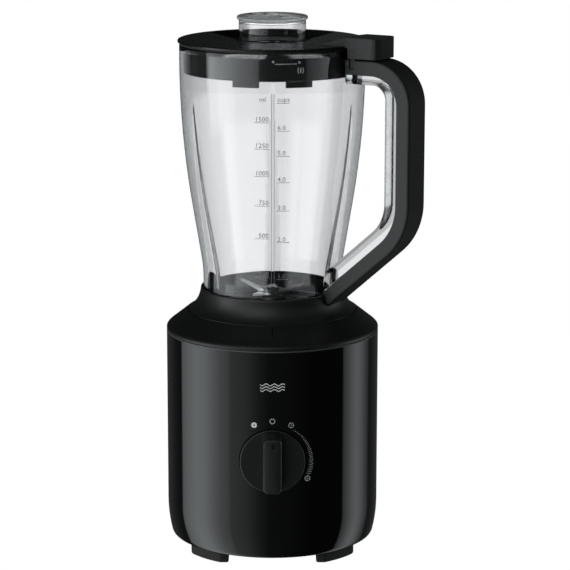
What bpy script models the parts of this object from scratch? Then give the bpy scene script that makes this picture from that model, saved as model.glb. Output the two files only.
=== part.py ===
"""Countertop blender: motor base with a knob, clear jug with a moulded handle, blades, lid and measuring cap.

Lengths below are in millimetres and angles in degrees; the meshes are built in metres, +Z up. The front, with the
knob, faces -Y. The origin is the middle of the bounding box's underside, so the motor axis stands beside it: the
handle reaches out on the right and the knob out of the front.
"""

import math

import bmesh
import bpy
from mathutils import Matrix

MM = 0.001
GAP = 0.3  # between pieces that touch
BIG, MEDIUM, SMALL = 40, 28, 16  # sides of a round piece

# Motor base
BASE_R = 80.0
BASE_WALL = 3.0
FOOT_H = 8.0
CURVE_TOP_Z = 35.0  # below this the base curves in
CURVE_IN = 3.3
SEAM_Z = 167.0  # gloss housing below, matt cover above
CONE_TOP_Z = 181.6
WELL_R = 63.6
DECK_Z = 163.0
DECK_T = 2.8
BOTTOM_PLATE_R = 72.7
FOOT_IN_R, FOOT_OUT_R = 58.5, 74.0
FOOT_START, FOOT_END = 213.0, 238.6  # azimuths of the front left foot's outer edge
FOOT_TOE_X = -32.5
FOOT_SIDES = {"front_left": (1, 1), "front_right": (-1, 1), "back_right": (-1, -1), "back_left": (1, -1)}
PLATE_SCREW_R = 69.5
GLAND_Z = 40.0
GLAND_FLANGE = 2.0

# Knob
KNOB_Z = 83.7
KNOB_R = 24.0
KNOB_BACK, KNOB_FACE, KNOB_REACH = 75.2, 81.0, 95.0  # distances from the motor axis
KNOB_BAR_HALF = 6.8
KNOB_BAR_ROOT, KNOB_BAR_END = 23.3, 20.8  # half lengths, at the disc and at its outer face
KNOB_SHAFT_R = 3.0

# Motor
SHAFT_R = 4.0
STATOR_R, STATOR_BORE, STATOR_LOW, STATOR_TOP = 43.0, 23.0, 66.0, 104.0
COIL_IN, COIL_OUT, COIL_HALF_SPAN, COIL_OVERHANG = 25.0, 34.0, 50.0, 8.0
ARMATURE_R = 22.3
ARMATURE_SLOTS = 12
COMMUTATOR_R, COMMUTATOR_LOW, COMMUTATOR_TOP = 11.0, 42.0, 54.0
BEARING_R, BEARING_BORE = 9.5, 4.1
BRACKET_T, BRACKET_HALF = 4.0, 8.0
LOWER_BRACKET_Z, UPPER_BRACKET_Z = 28.0, 128.0
MOTOR_SCREW_X = 39.5
HANGER_X = 56.0
FAN_R, FAN_Z, FAN_BLADES = 34.0, 115.0, 9
DOGS, DOG_SPAN, DOG_IN, DOG_OUT = 4, 20.0, 8.0, 16.0
DRIVE_TOP, DRIVEN_LOW = 157.0, 163.5
DRIVEN_DOG_START = 30.0

# Jug interlock
RING_LOW, RING_T, RING_IN, RING_OUT = DECK_Z + GAP, 3.0, 47.0, 58.0
LUG_AZIMUTHS = (90.0, 210.0, 330.0)
LUG_IN, LUG_OUT, LUG_SPAN, LUG_H = 51.5, 55.0, 14.0, 5.0
TAB_AZIMUTH, TAB_SPAN, JUG_TWIST = 240.0, 8.0, 30.0

# Jug
COLLAR_TOP_Z = 199.0
COLLAR_FLARE = [(63.3, 182.2), (60.6, 184.2), (58.2, 187.0), (56.3, 190.3), (54.9, 194.0), (54.1, 198.4)]
JUG_LOW_Z, JUG_TOP_Z = 184.7, 382.0
JUG_BOTTOM_R = 52.0
JUG_WALL = 2.6
JUG_SLOPE = 9.4  # of the straight stretch, from the vertical
FLARE_LOW_Z, FLARE_TOP_Z, CONE_END_Z, UPRIGHT_Z = 205.0, 222.0, 262.0, 372.0
RIB_AZIMUTHS = (-30.0, 90.0, -150.0)
RIB_TOP_Z = 342.0
FLOOR_Z = 183.0

# Handle, in the upright plane at its azimuth
HANDLE_AZIMUTH = -30.0
HANDLE_R = 120.8  # outer face
HANDLE_TOP_Z = 375.7
HANDLE_TOP_BEND, HANDLE_LOW_BEND = 32.0, 50.0
HANDLE_SLOPE = 41.2  # of the lower arm, from the horizontal
ARM_POINT = (79.0, 212.0)  # on the lower arm's underside
GRIP_HALF, GRIP_DEPTH = 13.0, 10.8
CORE_DEPTH, CORE_HALF, CORE_TOP_Z = 21.8, 12.0, 357.5
CHANNEL_HALF, CHANNEL_WALL = 7.5, 3.0
CHANNEL_START, CHANNEL_END = 79.0, 71.0
INSIDE_WALL = 60.0  # where the handle's bars start, before the wall trims them

# Blades
BLADE_T = 1.5
LOWER_REACH, UPPER_REACH = 18.0, 25.0
BLADE_BEND_X = 9.0
BLADE_HALF = 5.5
LOWER_BLADE_Z, UPPER_BLADE_Z = 193.5, 195.3
SPINDLE_R, SPINDLE_LOW, SPINDLE_TOP = 2.6, 192.0, 198.4  # the shaft's thinner end, which carries the blades
NUT_R, NUT_H = 4.6, 1.9

# Lid and cap
LID_TOP_Z, LID_R = 385.4, 70.3
LID_EDGE_Z = 383.6
SKIRT_R, SKIRT_T, SKIRT_LOW_Z = 66.0, 2.2, 362.0
LID_T = 2.4
RECESS_FLOOR_Z = 380.0
RECESS_FRONT_R = 28.0
RECESS_BACK_HALF, RECESS_BACK_R = 47.0, 64.0
CAP_HOLE_R = 25.5
LID_LUG_AZIMUTHS = (-107.0, -73.0, 73.0, 107.0)
TAB_START, TAB_END, TAB_HALF, TAB_TOP_Z, TAB_LOW_Z = 70.8, 94.75, 14.75, 391.5, 378.0
PRONG_IN, PRONG_OUT, PRONG_HALF, PRONG_LOW_Z = 71.8, 75.4, 12.0, 369.0
PRONG_ROOM = 0.4
CAP_TOP_Z, CAP_RIM_R, CAP_R, CAP_WALL, CAP_LOW_Z = 402.8, 26.35, 24.9, 1.8, 368.0

# The motor axis, from the reach of the handle, knob, base and cord gland
HANDLE_TURN = math.radians(HANDLE_AZIMUTH)
HANDLE_X = HANDLE_R * math.cos(HANDLE_TURN) - GRIP_HALF * math.sin(HANDLE_TURN)
AXIS_X = (BASE_R - HANDLE_X) / 2
AXIS_Y = (KNOB_REACH - BASE_R - GLAND_FLANGE) / 2


# ---- Materials -------------------------------------------------------------------------------------------------

def finish(name, colour, roughness, metallic=0.0):
    material = bpy.data.materials.new(name)
    material.use_nodes = True
    shader = material.node_tree.nodes["Principled BSDF"]
    shader.inputs["Base Color"].default_value = (*colour, 1.0)
    shader.inputs["Roughness"].default_value = roughness
    shader.inputs["Metallic"].default_value = metallic
    return material


def clear_finish(name, colour):
    material = finish(name, colour, 0.05)
    material.node_tree.nodes["Principled BSDF"].inputs["Transmission Weight"].default_value = 1.0
    return material


for old in list(bpy.data.objects):
    bpy.data.objects.remove(old)

GLOSS = finish("gloss_black", (0.008, 0.008, 0.009), 0.12)
SATIN = finish("satin_black", (0.014, 0.015, 0.015), 0.45)
LID_MATT = finish("lid_black", (0.012, 0.012, 0.012), 0.4)
RUBBER = finish("rubber_black", (0.02, 0.02, 0.02), 0.8)
CLEAR = clear_finish("clear_jug", (0.95, 0.96, 0.97))
STEEL = finish("blade_steel", (0.6, 0.6, 0.6), 0.25, 1.0)
IRON = finish("lamination_steel", (0.25, 0.25, 0.26), 0.5, 1.0)
COPPER = finish("copper_winding", (0.55, 0.25, 0.12), 0.4, 1.0)
BRASS = finish("brass", (0.6, 0.45, 0.2), 0.35, 1.0)
CARBON = finish("carbon", (0.03, 0.03, 0.03), 0.7)
NYLON = finish("white_nylon", (0.75, 0.75, 0.72), 0.5)
BOARD = finish("board_green", (0.03, 0.18, 0.07), 0.5)


# ---- Shapes ----------------------------------------------------------------------------------------------------

def arc(radius, start, end, steps, centre=(0.0, 0.0)):
    """Points along a circle, from one angle to the other."""
    turns = [math.radians(start + (end - start) * i / steps) for i in range(steps + 1)]
    return [(centre[0] + radius * math.cos(a), centre[1] + radius * math.sin(a)) for a in turns]


def loft(sections):
    """A closed solid through rings of points, each ring with as many points as the next."""
    bm = bmesh.new()
    rings = [[bm.verts.new(point) for point in section] for section in sections]
    for near, far in zip(rings, rings[1:]):
        for i in range(len(near)):
            j = (i + 1) % len(near)
            bm.faces.new((near[i], near[j], far[j], far[i]))
    bm.faces.new(rings[0])
    bm.faces.new(rings[-1])
    return bm


def prism(outline, low, high):
    return loft([[(x, y, z) for x, y in outline] for z in (low, high)])


def block(low, high):
    corners = [(low[0], low[1]), (high[0], low[1]), (high[0], high[1]), (low[0], high[1])]
    return prism(corners, low[2], high[2])


def sector(inner, outer, middle, span, low, high, steps=4):
    """Part of a ring, centred on an azimuth."""
    start, end = middle - span / 2, middle + span / 2
    return prism(arc(inner, start, end, steps) + arc(outer, end, start, steps), low, high)


def turned(profile, sides):
    """(radius, height) points turned about Z. A profile starts and ends on the axis, or is a closed ring."""
    bm = bmesh.new()
    turns = [2 * math.pi * (i + 0.5) / sides for i in range(sides)]
    rings = []
    for radius, z in profile:
        if radius:
            rings.append([bm.verts.new((radius * math.cos(a), radius * math.sin(a), z)) for a in turns])
        else:
            rings.append([bm.verts.new((0, 0, z))] * sides)
    if profile[0][0]:
        rings.append(rings[0])
    for near, far in zip(rings, rings[1:]):
        for i in range(sides):
            j = (i + 1) % sides
            bm.faces.new(list(dict.fromkeys((near[i], near[j], far[j], far[i]))))
    return bm


def tube(inner, outer, low, high, sides=SMALL):
    return turned([(inner, low), (outer, low), (outer, high), (inner, high)], sides)


def rod(radius, low, high, sides=SMALL):
    return turned([(0, low), (radius, low), (radius, high), (0, high)], sides)


def moved(bm, x=0.0, y=0.0, z=0.0, turn=0.0):
    bm.transform(Matrix.Rotation(math.radians(turn), 4, "Z") @ Matrix.Translation((x, y, z)))
    return bm


def together(*parts):
    """Several solids as one mesh, for a tool that cuts or joins them all at once."""
    whole = bmesh.new()
    for part in parts:
        carrier = bpy.data.meshes.new("carrier")
        part.to_mesh(carrier)
        part.free()
        whole.from_mesh(carrier)
        bpy.data.meshes.remove(carrier)
    return whole


# ---- Objects ---------------------------------------------------------------------------------------------------

def axis_empty(name, parent=None, z=0.0, tilt=0.0):
    empty = bpy.data.objects.new(name, None)
    bpy.context.scene.collection.objects.link(empty)
    empty.parent = parent
    empty.location.z = z * MM
    empty.rotation_euler.x = math.radians(tilt)
    return empty


MOTOR_AXIS = axis_empty("motor_axis")
MOTOR_AXIS.location = (AXIS_X * MM, AXIS_Y * MM, 0)
KNOB_AXIS = axis_empty("knob_axis", MOTOR_AXIS, KNOB_Z, 90)  # its Z points out of the front
GLAND_AXIS = axis_empty("gland_axis", MOTOR_AXIS, GLAND_Z, -90)  # its Z points out of the back


def piece(name, bm, material, parent=MOTOR_AXIS, turn=0.0):
    bmesh.ops.recalc_face_normals(bm, faces=bm.faces)
    bm.transform(Matrix.Scale(MM, 4))
    mesh = bpy.data.meshes.new(name)
    bm.to_mesh(mesh)
    bm.free()
    mesh.materials.append(material)
    mesh.shade_smooth()
    mesh.set_sharp_from_angle(angle=math.radians(30))
    obj = bpy.data.objects.new(name, mesh)
    bpy.context.scene.collection.objects.link(obj)
    obj.parent = parent
    obj.rotation_euler.z = math.radians(turn)
    return obj


def tool(name, bm, parent=MOTOR_AXIS, turn=0.0):
    obj = piece(name, bm, SATIN, parent, turn)
    obj.hide_render = True
    obj.display_type = "WIRE"
    return obj


def combine(obj, other, operation):
    modifier = obj.modifiers.new(f"{operation.lower()}_{other.name}", "BOOLEAN")
    modifier.operation = operation
    modifier.object = other


def cut(obj, other):
    combine(obj, other, "DIFFERENCE")


def join(obj, other):
    combine(obj, other, "UNION")


# ---- Motor base ------------------------------------------------------------------------------------------------

def plate_screw_places(shape):
    """One copy of a shape at each of the bottom plate's four screws."""
    return together(*(moved(shape(), x=PLATE_SCREW_R, turn=turn) for turn in (0, 90, 180, 270)))


def base_housing():
    heights = (CURVE_TOP_Z, 28.0, 22.0, 16.5, 12.0, 9.2)
    bend = CURVE_TOP_Z - FOOT_H
    curve = [(BASE_R - CURVE_IN * ((CURVE_TOP_Z - z) / bend) ** 2.2, z) for z in heights]
    inner = BASE_R - BASE_WALL
    rim = BOTTOM_PLATE_R + GAP
    profile = [(BASE_R, SEAM_Z - GAP), *curve, (BASE_R - CURVE_IN - 1.2, FOOT_H), (rim, FOOT_H), (rim, 14.0)]
    profile += [(inner, 38.0), (inner, SEAM_Z - GAP)]
    housing = piece("base_housing", turned(profile, BIG), GLOSS)

    boss = tool("knob_boss", rod(27.0, KNOB_BACK - 3.7, BASE_R, MEDIUM), KNOB_AXIS)
    combine(boss, tool("wall_middle", rod(BASE_R - BASE_WALL / 2, 50, 120, BIG)), "INTERSECT")
    join(housing, boss)
    join(housing, tool("screw_posts", plate_screw_places(lambda: rod(5.0, FOOT_H + 3.1, 24.0, SMALL))))

    pocket_r, floor = KNOB_R + 0.6, KNOB_BACK - 0.7
    shaft_hole = [(0, 60), (KNOB_SHAFT_R + 0.6, 60), (KNOB_SHAFT_R + 0.6, floor)]
    pocket = turned([*shaft_hole, (pocket_r, floor), (pocket_r, 99), (0, 99)], BIG)
    cut(housing, tool("knob_pocket", pocket, KNOB_AXIS))
    cut(housing, tool("gland_hole", rod(7.0, 60, 99), GLAND_AXIS))
    cut(housing, tool("post_holes", plate_screw_places(lambda: rod(2.0, 5.0, 22.0, 12))))


def top_cover():
    shoulder = [(BASE_R, SEAM_Z), (BASE_R, 168.3), (79.5, 169.4), (78.3, 170.4)]
    outside = shoulder + [(64.6, 180.8), (64.0, CONE_TOP_Z)]
    well = [(WELL_R, CONE_TOP_Z), (WELL_R, DECK_Z), (20.0, DECK_Z), (20.0, DECK_Z - DECK_T)]
    lip_in = BASE_R - BASE_WALL - GAP
    underside = [(66.4, DECK_Z - DECK_T), (66.4, 176.0), (74.0, 170.0), (74.0, 161.0)]
    underside += [(lip_in, 161.0), (lip_in, SEAM_Z)]
    cover = piece("top_cover", turned(outside + well + underside, BIG), SATIN)
    posts = [moved(rod(5.0, UPPER_BRACKET_Z + BRACKET_T + GAP, DECK_Z - 1.0), x=x) for x in (-HANGER_X, HANGER_X)]
    join(cover, tool("hanger_posts", together(*posts)))
    holes = [moved(rod(1.9, 120, 150, 12), x=x) for x in (-HANGER_X, HANGER_X)]
    cut(cover, tool("hanger_holes", together(*holes)))
    middle, span = TAB_AZIMUTH + JUG_TWIST / 2, TAB_SPAN + JUG_TWIST + 4
    cut(cover, tool("tab_slot", sector(LUG_IN - 0.5, LUG_OUT + 2, middle, span, 150, 170, 8)))


def bottom_plate():
    plate = piece("bottom_plate", rod(BOTTOM_PLATE_R, FOOT_H, FOOT_H + 2.8, BIG), SATIN)
    vents = [moved(block((22, -2, 0), (48, 2, 20)), turn=22.5 + 45 * i) for i in range(8)]
    cut(plate, tool("vents", together(*vents)))
    cut(plate, tool("plate_holes", plate_screw_places(lambda: turned(
        [(0, 5), (3.0, 5), (3.0, 10.0), (2.1, 10.0), (2.1, 13), (0, 13)], 12))))
    for i, turn in enumerate((0, 90, 180, 270), 1):
        profile = [(0, 8.3), (2.7, 8.3), (2.7, 9.7), (1.7, 9.7), (1.7, 21.0), (0, 21.0)]
        piece(f"bottom_screw_{i}", moved(turned(profile, 12), x=PLATE_SCREW_R), STEEL, turn=turn)


def foot_outline():
    """The front left foot in plan: an arc outside, an arc inside, and a straight toe that faces the front."""
    outer = arc(FOOT_OUT_R, FOOT_START + 1.5, FOOT_END, 6)
    toe_y = outer[-1][1]
    toe = [(FOOT_TOE_X - 1.0, toe_y), (FOOT_TOE_X, toe_y + 1.0)]
    inner_end = 180 + math.degrees(math.acos(-FOOT_TOE_X / FOOT_IN_R))
    inner = arc(FOOT_IN_R, inner_end, FOOT_START + 2.0, 4)
    end = [arc(r, FOOT_START, FOOT_START, 1)[0] for r in (FOOT_IN_R + 1.4, FOOT_OUT_R - 1.4)]
    return outer + toe + inner + end


def feet():
    for name, (side_x, side_y) in FOOT_SIDES.items():
        outline = [(x * side_x, y * side_y) for x, y in foot_outline()]
        low = [(x * 0.993, y * 0.993, 0.0) for x, y in outline]
        rings = [low, [(x, y, 1.2) for x, y in outline], [(x, y, FOOT_H - GAP) for x, y in outline]]
        piece(f"foot_{name}", loft(rings), RUBBER)


def cord_gland():
    out, wall = BASE_R + GLAND_FLANGE, BASE_R + GAP
    flange = [(3.6, out), (8.2, out), (9.0, out - 0.8), (9.0, wall), (6.6, wall)]
    clip = [(6.6, 75.5), (8.6, 75.5), (8.6, 72.5), (6.6, 72.5), (6.6, 69.0), (3.6, 69.0)]
    piece("cord_gland", turned(flange + clip, SMALL), SATIN, GLAND_AXIS)


def speed_switch():
    body = block((-14, -14, 54.0), (14, 14, KNOB_BACK - 4.2))
    switch = piece("speed_switch", body, NYLON, KNOB_AXIS)
    cut(switch, tool("switch_bore", rod(KNOB_SHAFT_R + 0.4, 57.0, 90.0), KNOB_AXIS))


def control_board():
    board = piece("control_board", block((-24, 60.0, 50), (24, 61.6, 100)), BOARD)
    parts = [block((-20, 48, 56), (-4, 60.5, 74)), block((2, 52, 54), (18, 60.5, 66)),
             block((6, 50, 78), (20, 60.5, 94)), block((-18, 54, 80), (-6, 60.5, 96))]
    join(board, tool("board_components", together(*parts)))


def interlock_switch():
    piece("interlock_switch", block((48, -8, 148), (60, 2, DECK_Z - DECK_T - GAP)), NYLON, turn=TAB_AZIMUTH - 9)


# ---- Motor -----------------------------------------------------------------------------------------------------

def screw_line(radius, low, high):
    return together(*(moved(rod(radius, low, high, 12), x=x) for x in (-MOTOR_SCREW_X, MOTOR_SCREW_X)))


def stator():
    core = piece("motor_stator", tube(STATOR_BORE, STATOR_R, STATOR_LOW, STATOR_TOP, MEDIUM), IRON)
    windows = [sector(COIL_IN - GAP, COIL_OUT + GAP, middle, 2 * COIL_HALF_SPAN + 2, 50, 120, 10)
               for middle in (90, 270)]
    cut(core, tool("coil_windows", together(*windows)))
    cut(core, tool("screw_holes", screw_line(2.1, 50, 120)))
    for name, middle in (("back", 90), ("front", 270)):
        coil = sector(COIL_IN, COIL_OUT, middle, 2 * COIL_HALF_SPAN, STATOR_LOW - COIL_OVERHANG,
                      STATOR_TOP + COIL_OVERHANG, 10)
        piece(f"field_coil_{name}", coil, COPPER)


def bracket(name, bar_low, bar_half, legs, hub, arms=()):
    """A bearing bracket: a bar across the motor, two legs that stand on the stator, and a bearing hub."""
    bar_high = bar_low + BRACKET_T
    plate = piece(name, block((-bar_half, -BRACKET_HALF, bar_low), (bar_half, BRACKET_HALF, bar_high)), IRON)
    posts = [block((x - 2.8, -6, legs[0]), (x + 2.8, 6, legs[1])) for x in (-MOTOR_SCREW_X, MOTOR_SCREW_X)]
    join(plate, tool(f"{name}_legs", together(*posts)))
    join(plate, tool(f"{name}_hub", rod(13.0, *hub)))
    for i, arm in enumerate(arms):
        join(plate, tool(f"{name}_arm_{i}", arm))
    cut(plate, tool(f"{name}_bore", rod(BEARING_R + GAP, hub[0] - 5, hub[1] + 5)))
    cut(plate, tool(f"{name}_holes", screw_line(2.1, 20, 140)))
    return plate


def motor_frame():
    arm = block((-6, -34, LOWER_BRACKET_Z + 0.2), (6, 34, LOWER_BRACKET_Z + BRACKET_T - 0.2))
    bracket("lower_bracket", LOWER_BRACKET_Z, 44.0, (LOWER_BRACKET_Z + 1, STATOR_LOW - GAP), (25.0, 36.0), [arm])
    legs = (STATOR_TOP + GAP, UPPER_BRACKET_Z + 1)
    upper = bracket("upper_bracket", UPPER_BRACKET_Z, 63.0, legs, (126.0, 139.0))
    holes = [moved(rod(2.1, 120, 140, 12), x=x) for x in (-HANGER_X, HANGER_X)]
    cut(upper, tool("upper_bracket_hangers", together(*holes)))
    piece("lower_bearing", tube(BEARING_BORE, BEARING_R, 27.0, 35.0), BRASS)
    piece("upper_bearing", tube(BEARING_BORE, BEARING_R, 128.0, 137.0), BRASS)
    for side, x in (("left", -1), ("right", 1)):
        through = [(0, 24.7), (3.4, 24.7), (3.4, 27.7), (1.8, 27.7), (1.8, 131.0), (0, 131.0)]
        piece(f"motor_screw_{side}", moved(turned(through, 12), x=x * MOTOR_SCREW_X), STEEL)
        hanger = [(0, 124.8), (3.4, 124.8), (3.4, 127.7), (1.6, 127.7), (1.6, 146.0), (0, 146.0)]
        piece(f"hanger_screw_{side}", moved(turned(hanger, 12), x=x * HANGER_X), STEEL)


def brushes():
    for name, turn in (("back", 0), ("front", 180)):
        holder = piece(f"brush_holder_{name}", block((-5.5, 14, 43), (5.5, 32, 53)), BRASS, turn=turn)
        foot = block((-4, 20, LOWER_BRACKET_Z + BRACKET_T + GAP), (4, 28, 43.6))
        join(holder, tool(f"holder_foot_{name}", foot, turn=turn))
        cut(holder, tool(f"holder_channel_{name}", block((-3.3, 10, 44.7), (3.3, 36, 51.3)), turn=turn))
        piece(f"carbon_brush_{name}", block((-3, COMMUTATOR_R + 0.4, 45), (3, 30, 51)), CARBON, turn=turn)


def rotor():
    piece("motor_shaft", rod(SHAFT_R, 26.0, DRIVE_TOP), STEEL)
    pitch = 360 / ARMATURE_SLOTS
    outline = []
    for i in range(ARMATURE_SLOTS):
        slot, tooth = pitch * i, pitch * (i + 0.5)
        outline += arc(13.0, slot - 5, slot + 5, 1) + arc(ARMATURE_R, slot + 5, 2 * tooth - slot - 5, 2)
    core = piece("armature_core", prism(outline, STATOR_LOW, STATOR_TOP), IRON)
    cut(core, tool("core_bore", rod(SHAFT_R + GAP, 50, 120)))

    ends = [tube(8.0, 20.5, STATOR_LOW - 8, STATOR_LOW - GAP), tube(8.0, 20.5, STATOR_TOP + GAP, STATOR_TOP + 8)]
    windings = piece("armature_windings", ends[0], COPPER)
    join(windings, tool("winding_top", ends[1]))
    bars = [moved(block((13.6, -0.9, STATOR_LOW - 2), (19.5, 0.9, STATOR_TOP + 2)), turn=pitch * i)
            for i in range(ARMATURE_SLOTS)]
    join(windings, tool("winding_bars", together(*bars)))

    piece("commutator", tube(SHAFT_R + GAP, COMMUTATOR_R, COMMUTATOR_LOW, COMMUTATOR_TOP), COPPER)

    top = FAN_Z + 9.0
    hub = [(SHAFT_R + GAP, FAN_Z), (FAN_R, FAN_Z), (FAN_R, FAN_Z + 1.6), (9.0, FAN_Z + 1.6), (9.0, top)]
    fan = piece("cooling_fan", turned(hub + [(SHAFT_R + GAP, top)], MEDIUM), NYLON)
    blades = [moved(block((13.0, -0.8, FAN_Z + 1.0), (FAN_R - 0.7, 0.8, top)), turn=360 / FAN_BLADES * i)
              for i in range(FAN_BLADES)]
    join(fan, tool("fan_blades", together(*blades)))


def dog_clutch(name, ring, low, high, start):
    clutch = piece(name, turned(ring, MEDIUM), NYLON)
    dogs = [sector(DOG_IN, DOG_OUT, start + 90 * i, DOG_SPAN, low, high, 3) for i in range(DOGS)]
    join(clutch, tool(f"{name}_dogs", together(*dogs)))


def drive_coupling():
    bore, top = SHAFT_R + GAP, DRIVE_TOP
    ring = [(bore, top - 9), (8.5, top - 9), (8.5, top - 5), (17.0, top - 5), (17.0, top), (bore, top)]
    dog_clutch("drive_coupling", ring, top - 0.6, top + 5, 0)


def driven_coupling():
    bore, low = SHAFT_R + GAP, DRIVEN_LOW
    ring = [(bore, low), (17.0, low), (17.0, low + 4.5), (8.5, low + 4.5), (8.5, low + 7), (bore, low + 7)]
    dog_clutch("driven_coupling", ring, low - 5.5, low + 0.6, DRIVEN_DOG_START)


# ---- Knob ------------------------------------------------------------------------------------------------------

def bar_outline(half, reach):
    """The knob's bar in plan, with its corners taken off."""
    corner = [(half, reach - 3.0), (half - 0.9, reach - 0.9), (half - 3.0, reach)]
    top = corner + [(-x, y) for x, y in reversed(corner)]
    return top + [(-x, -y) for x, y in top]


def control_knob():
    chamfer = KNOB_FACE - 0.8
    disc = [(0, KNOB_BACK), (KNOB_R, KNOB_BACK), (KNOB_R, chamfer), (KNOB_R - 0.8, KNOB_FACE), (0, KNOB_FACE)]
    knob = piece("control_knob", turned(disc, BIG), SATIN, KNOB_AXIS)
    rings = ((KNOB_FACE - 2, KNOB_BAR_HALF, KNOB_BAR_ROOT), (KNOB_REACH - 1.2, KNOB_BAR_HALF, KNOB_BAR_END + 0.4),
             (KNOB_REACH, KNOB_BAR_HALF - 0.8, KNOB_BAR_END - 0.6))
    bar = loft([[(x, y, z) for x, y in bar_outline(half, reach)] for z, half, reach in rings])
    join(knob, tool("knob_bar", bar, KNOB_AXIS))
    cut(knob, tool("knob_bore", rod(KNOB_SHAFT_R + GAP, 60, 90), KNOB_AXIS))
    piece("knob_shaft", rod(KNOB_SHAFT_R, 57.5, 89.6), STEEL, KNOB_AXIS)


# ---- Interlock ring --------------------------------------------------------------------------------------------

def interlock_ring():
    top = RING_LOW + RING_T
    ring = piece("interlock_ring", tube(RING_IN, RING_OUT, RING_LOW, top, MEDIUM), NYLON)
    lugs = [sector(LUG_IN, LUG_OUT, a, LUG_SPAN, top - 0.6, top + LUG_H) for a in LUG_AZIMUTHS]
    join(ring, tool("ring_lugs", together(*lugs)))
    join(ring, tool("ring_tab", sector(LUG_IN + 0.5, LUG_OUT + 1, TAB_AZIMUTH, TAB_SPAN, 154.0, RING_LOW + 0.6)))


# ---- Jug -------------------------------------------------------------------------------------------------------

def jug_line(out=0.0):
    """The jug's outer wall from foot to rim, moved out by a distance: upright, flared, straight, upright."""
    slope = math.radians(JUG_SLOPE)
    flare = (FLARE_TOP_Z - FLARE_LOW_Z) / math.sin(slope)
    shoulder = (UPRIGHT_Z - CONE_END_Z) / math.sin(slope)
    points = [(JUG_BOTTOM_R, JUG_LOW_Z)]
    points += arc(flare, 180, 180 - JUG_SLOPE, 2, (JUG_BOTTOM_R + flare, FLARE_LOW_Z))
    radius = points[-1][0] + (CONE_END_Z - FLARE_TOP_Z) * math.tan(slope)
    centre = (radius - shoulder * math.cos(slope), UPRIGHT_Z)
    points += arc(shoulder, -JUG_SLOPE, 0, 5, centre)
    points.append((points[-1][0], JUG_TOP_Z))
    return [(r + out, z) for r, z in points]


def wall_radius(z):
    """The outer radius of the jug's wall at a height."""
    line = jug_line()
    for (r0, z0), (r1, z1) in zip(line, line[1:]):
        if z <= z1:
            return r0 + (r1 - r0) * (z - z0) / (z1 - z0)
    return line[-1][0]


def rib(azimuth):
    """A three-sided rib inside the jug, deepest at the floor and fading out towards the rim."""
    sections = []
    for z in (JUG_LOW_Z + 1, 205.0, 235.0, CONE_END_Z, 300.0, RIB_TOP_Z):
        inner = wall_radius(z) - JUG_WALL
        share = (RIB_TOP_Z - z) / (RIB_TOP_Z - JUG_LOW_Z)
        depth, half = 6.5 * share ** 0.7 - 0.5, 7.5 * share ** 0.7 + 0.6
        root = inner + 1.1
        sections.append([(root, -half, z), (inner - depth, -0.8, z), (inner - depth, 0.8, z), (root, half, z)])
    return moved(loft(sections), turn=azimuth)


def handle_line(depth, start, end, top_z=None):
    """The handle's outline at a depth under its outer face, from its upper root to its lower end."""
    bend = HANDLE_TOP_BEND - depth
    top_z = HANDLE_TOP_Z - depth if top_z is None else top_z
    top = arc(bend, 90, 0, 7, (HANDLE_R - HANDLE_TOP_BEND, top_z - bend))
    slope = math.radians(HANDLE_SLOPE)
    corner = ARM_POINT[1] + (HANDLE_R - ARM_POINT[0]) * math.tan(slope)
    turn = 90 - HANDLE_SLOPE
    centre = (HANDLE_R - HANDLE_LOW_BEND, corner + HANDLE_LOW_BEND * math.tan(math.radians(turn / 2)))
    low = arc(HANDLE_LOW_BEND - depth, 0, -turn, 5, centre)
    last = low[-1]
    return [(start, top_z), *top, *low, (end, last[1] - (last[0] - end) * math.tan(slope))]


def handle_bar(outer, inner, half):
    """A bar that fills the space between two of the handle's outlines."""
    return loft([[(r0, -half, z0), (r0, half, z0), (r1, half, z1), (r1, -half, z1)]
                 for (r0, z0), (r1, z1) in zip(outer, inner)])


def jug():
    outer = jug_line()
    inner = [(r, z) for r, z in reversed(jug_line(-JUG_WALL))]
    rim = [(outer[-1][0] - 0.6, JUG_TOP_Z), (inner[0][0] + 0.6, JUG_TOP_Z)]
    outer[-1] = (outer[-1][0], JUG_TOP_Z - 0.6)
    inner[0] = (inner[0][0], JUG_TOP_Z - 0.6)
    vessel = piece("jug", turned(outer + rim + inner, BIG), CLEAR)
    join(vessel, tool("jug_ribs", together(*(rib(azimuth) for azimuth in RIB_AZIMUTHS))))

    under_grip = handle_line(GRIP_DEPTH + GAP, INSIDE_WALL, 44.0)
    inner_face = handle_line(CORE_DEPTH, INSIDE_WALL, 44.0, CORE_TOP_Z)
    core = tool("handle_core", handle_bar(under_grip, inner_face, CORE_HALF), turn=HANDLE_AZIMUTH)
    ends = (CHANNEL_START + 0.5, CHANNEL_END + 1.0)
    tongue_top, tongue_foot = handle_line(CHANNEL_WALL + GAP, *ends), handle_line(GRIP_DEPTH + 2, *ends)
    tongue = handle_bar(tongue_top, tongue_foot, CHANNEL_HALF - GAP)
    join(core, tool("handle_tongue", tongue, turn=HANDLE_AZIMUTH))
    middle = [(0, 150), (JUG_BOTTOM_R - JUG_WALL / 2, 150), *jug_line(-JUG_WALL / 2), (0, JUG_TOP_Z)]
    cut(core, tool("wall_core", turned(middle, BIG)))
    join(vessel, core)


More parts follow.
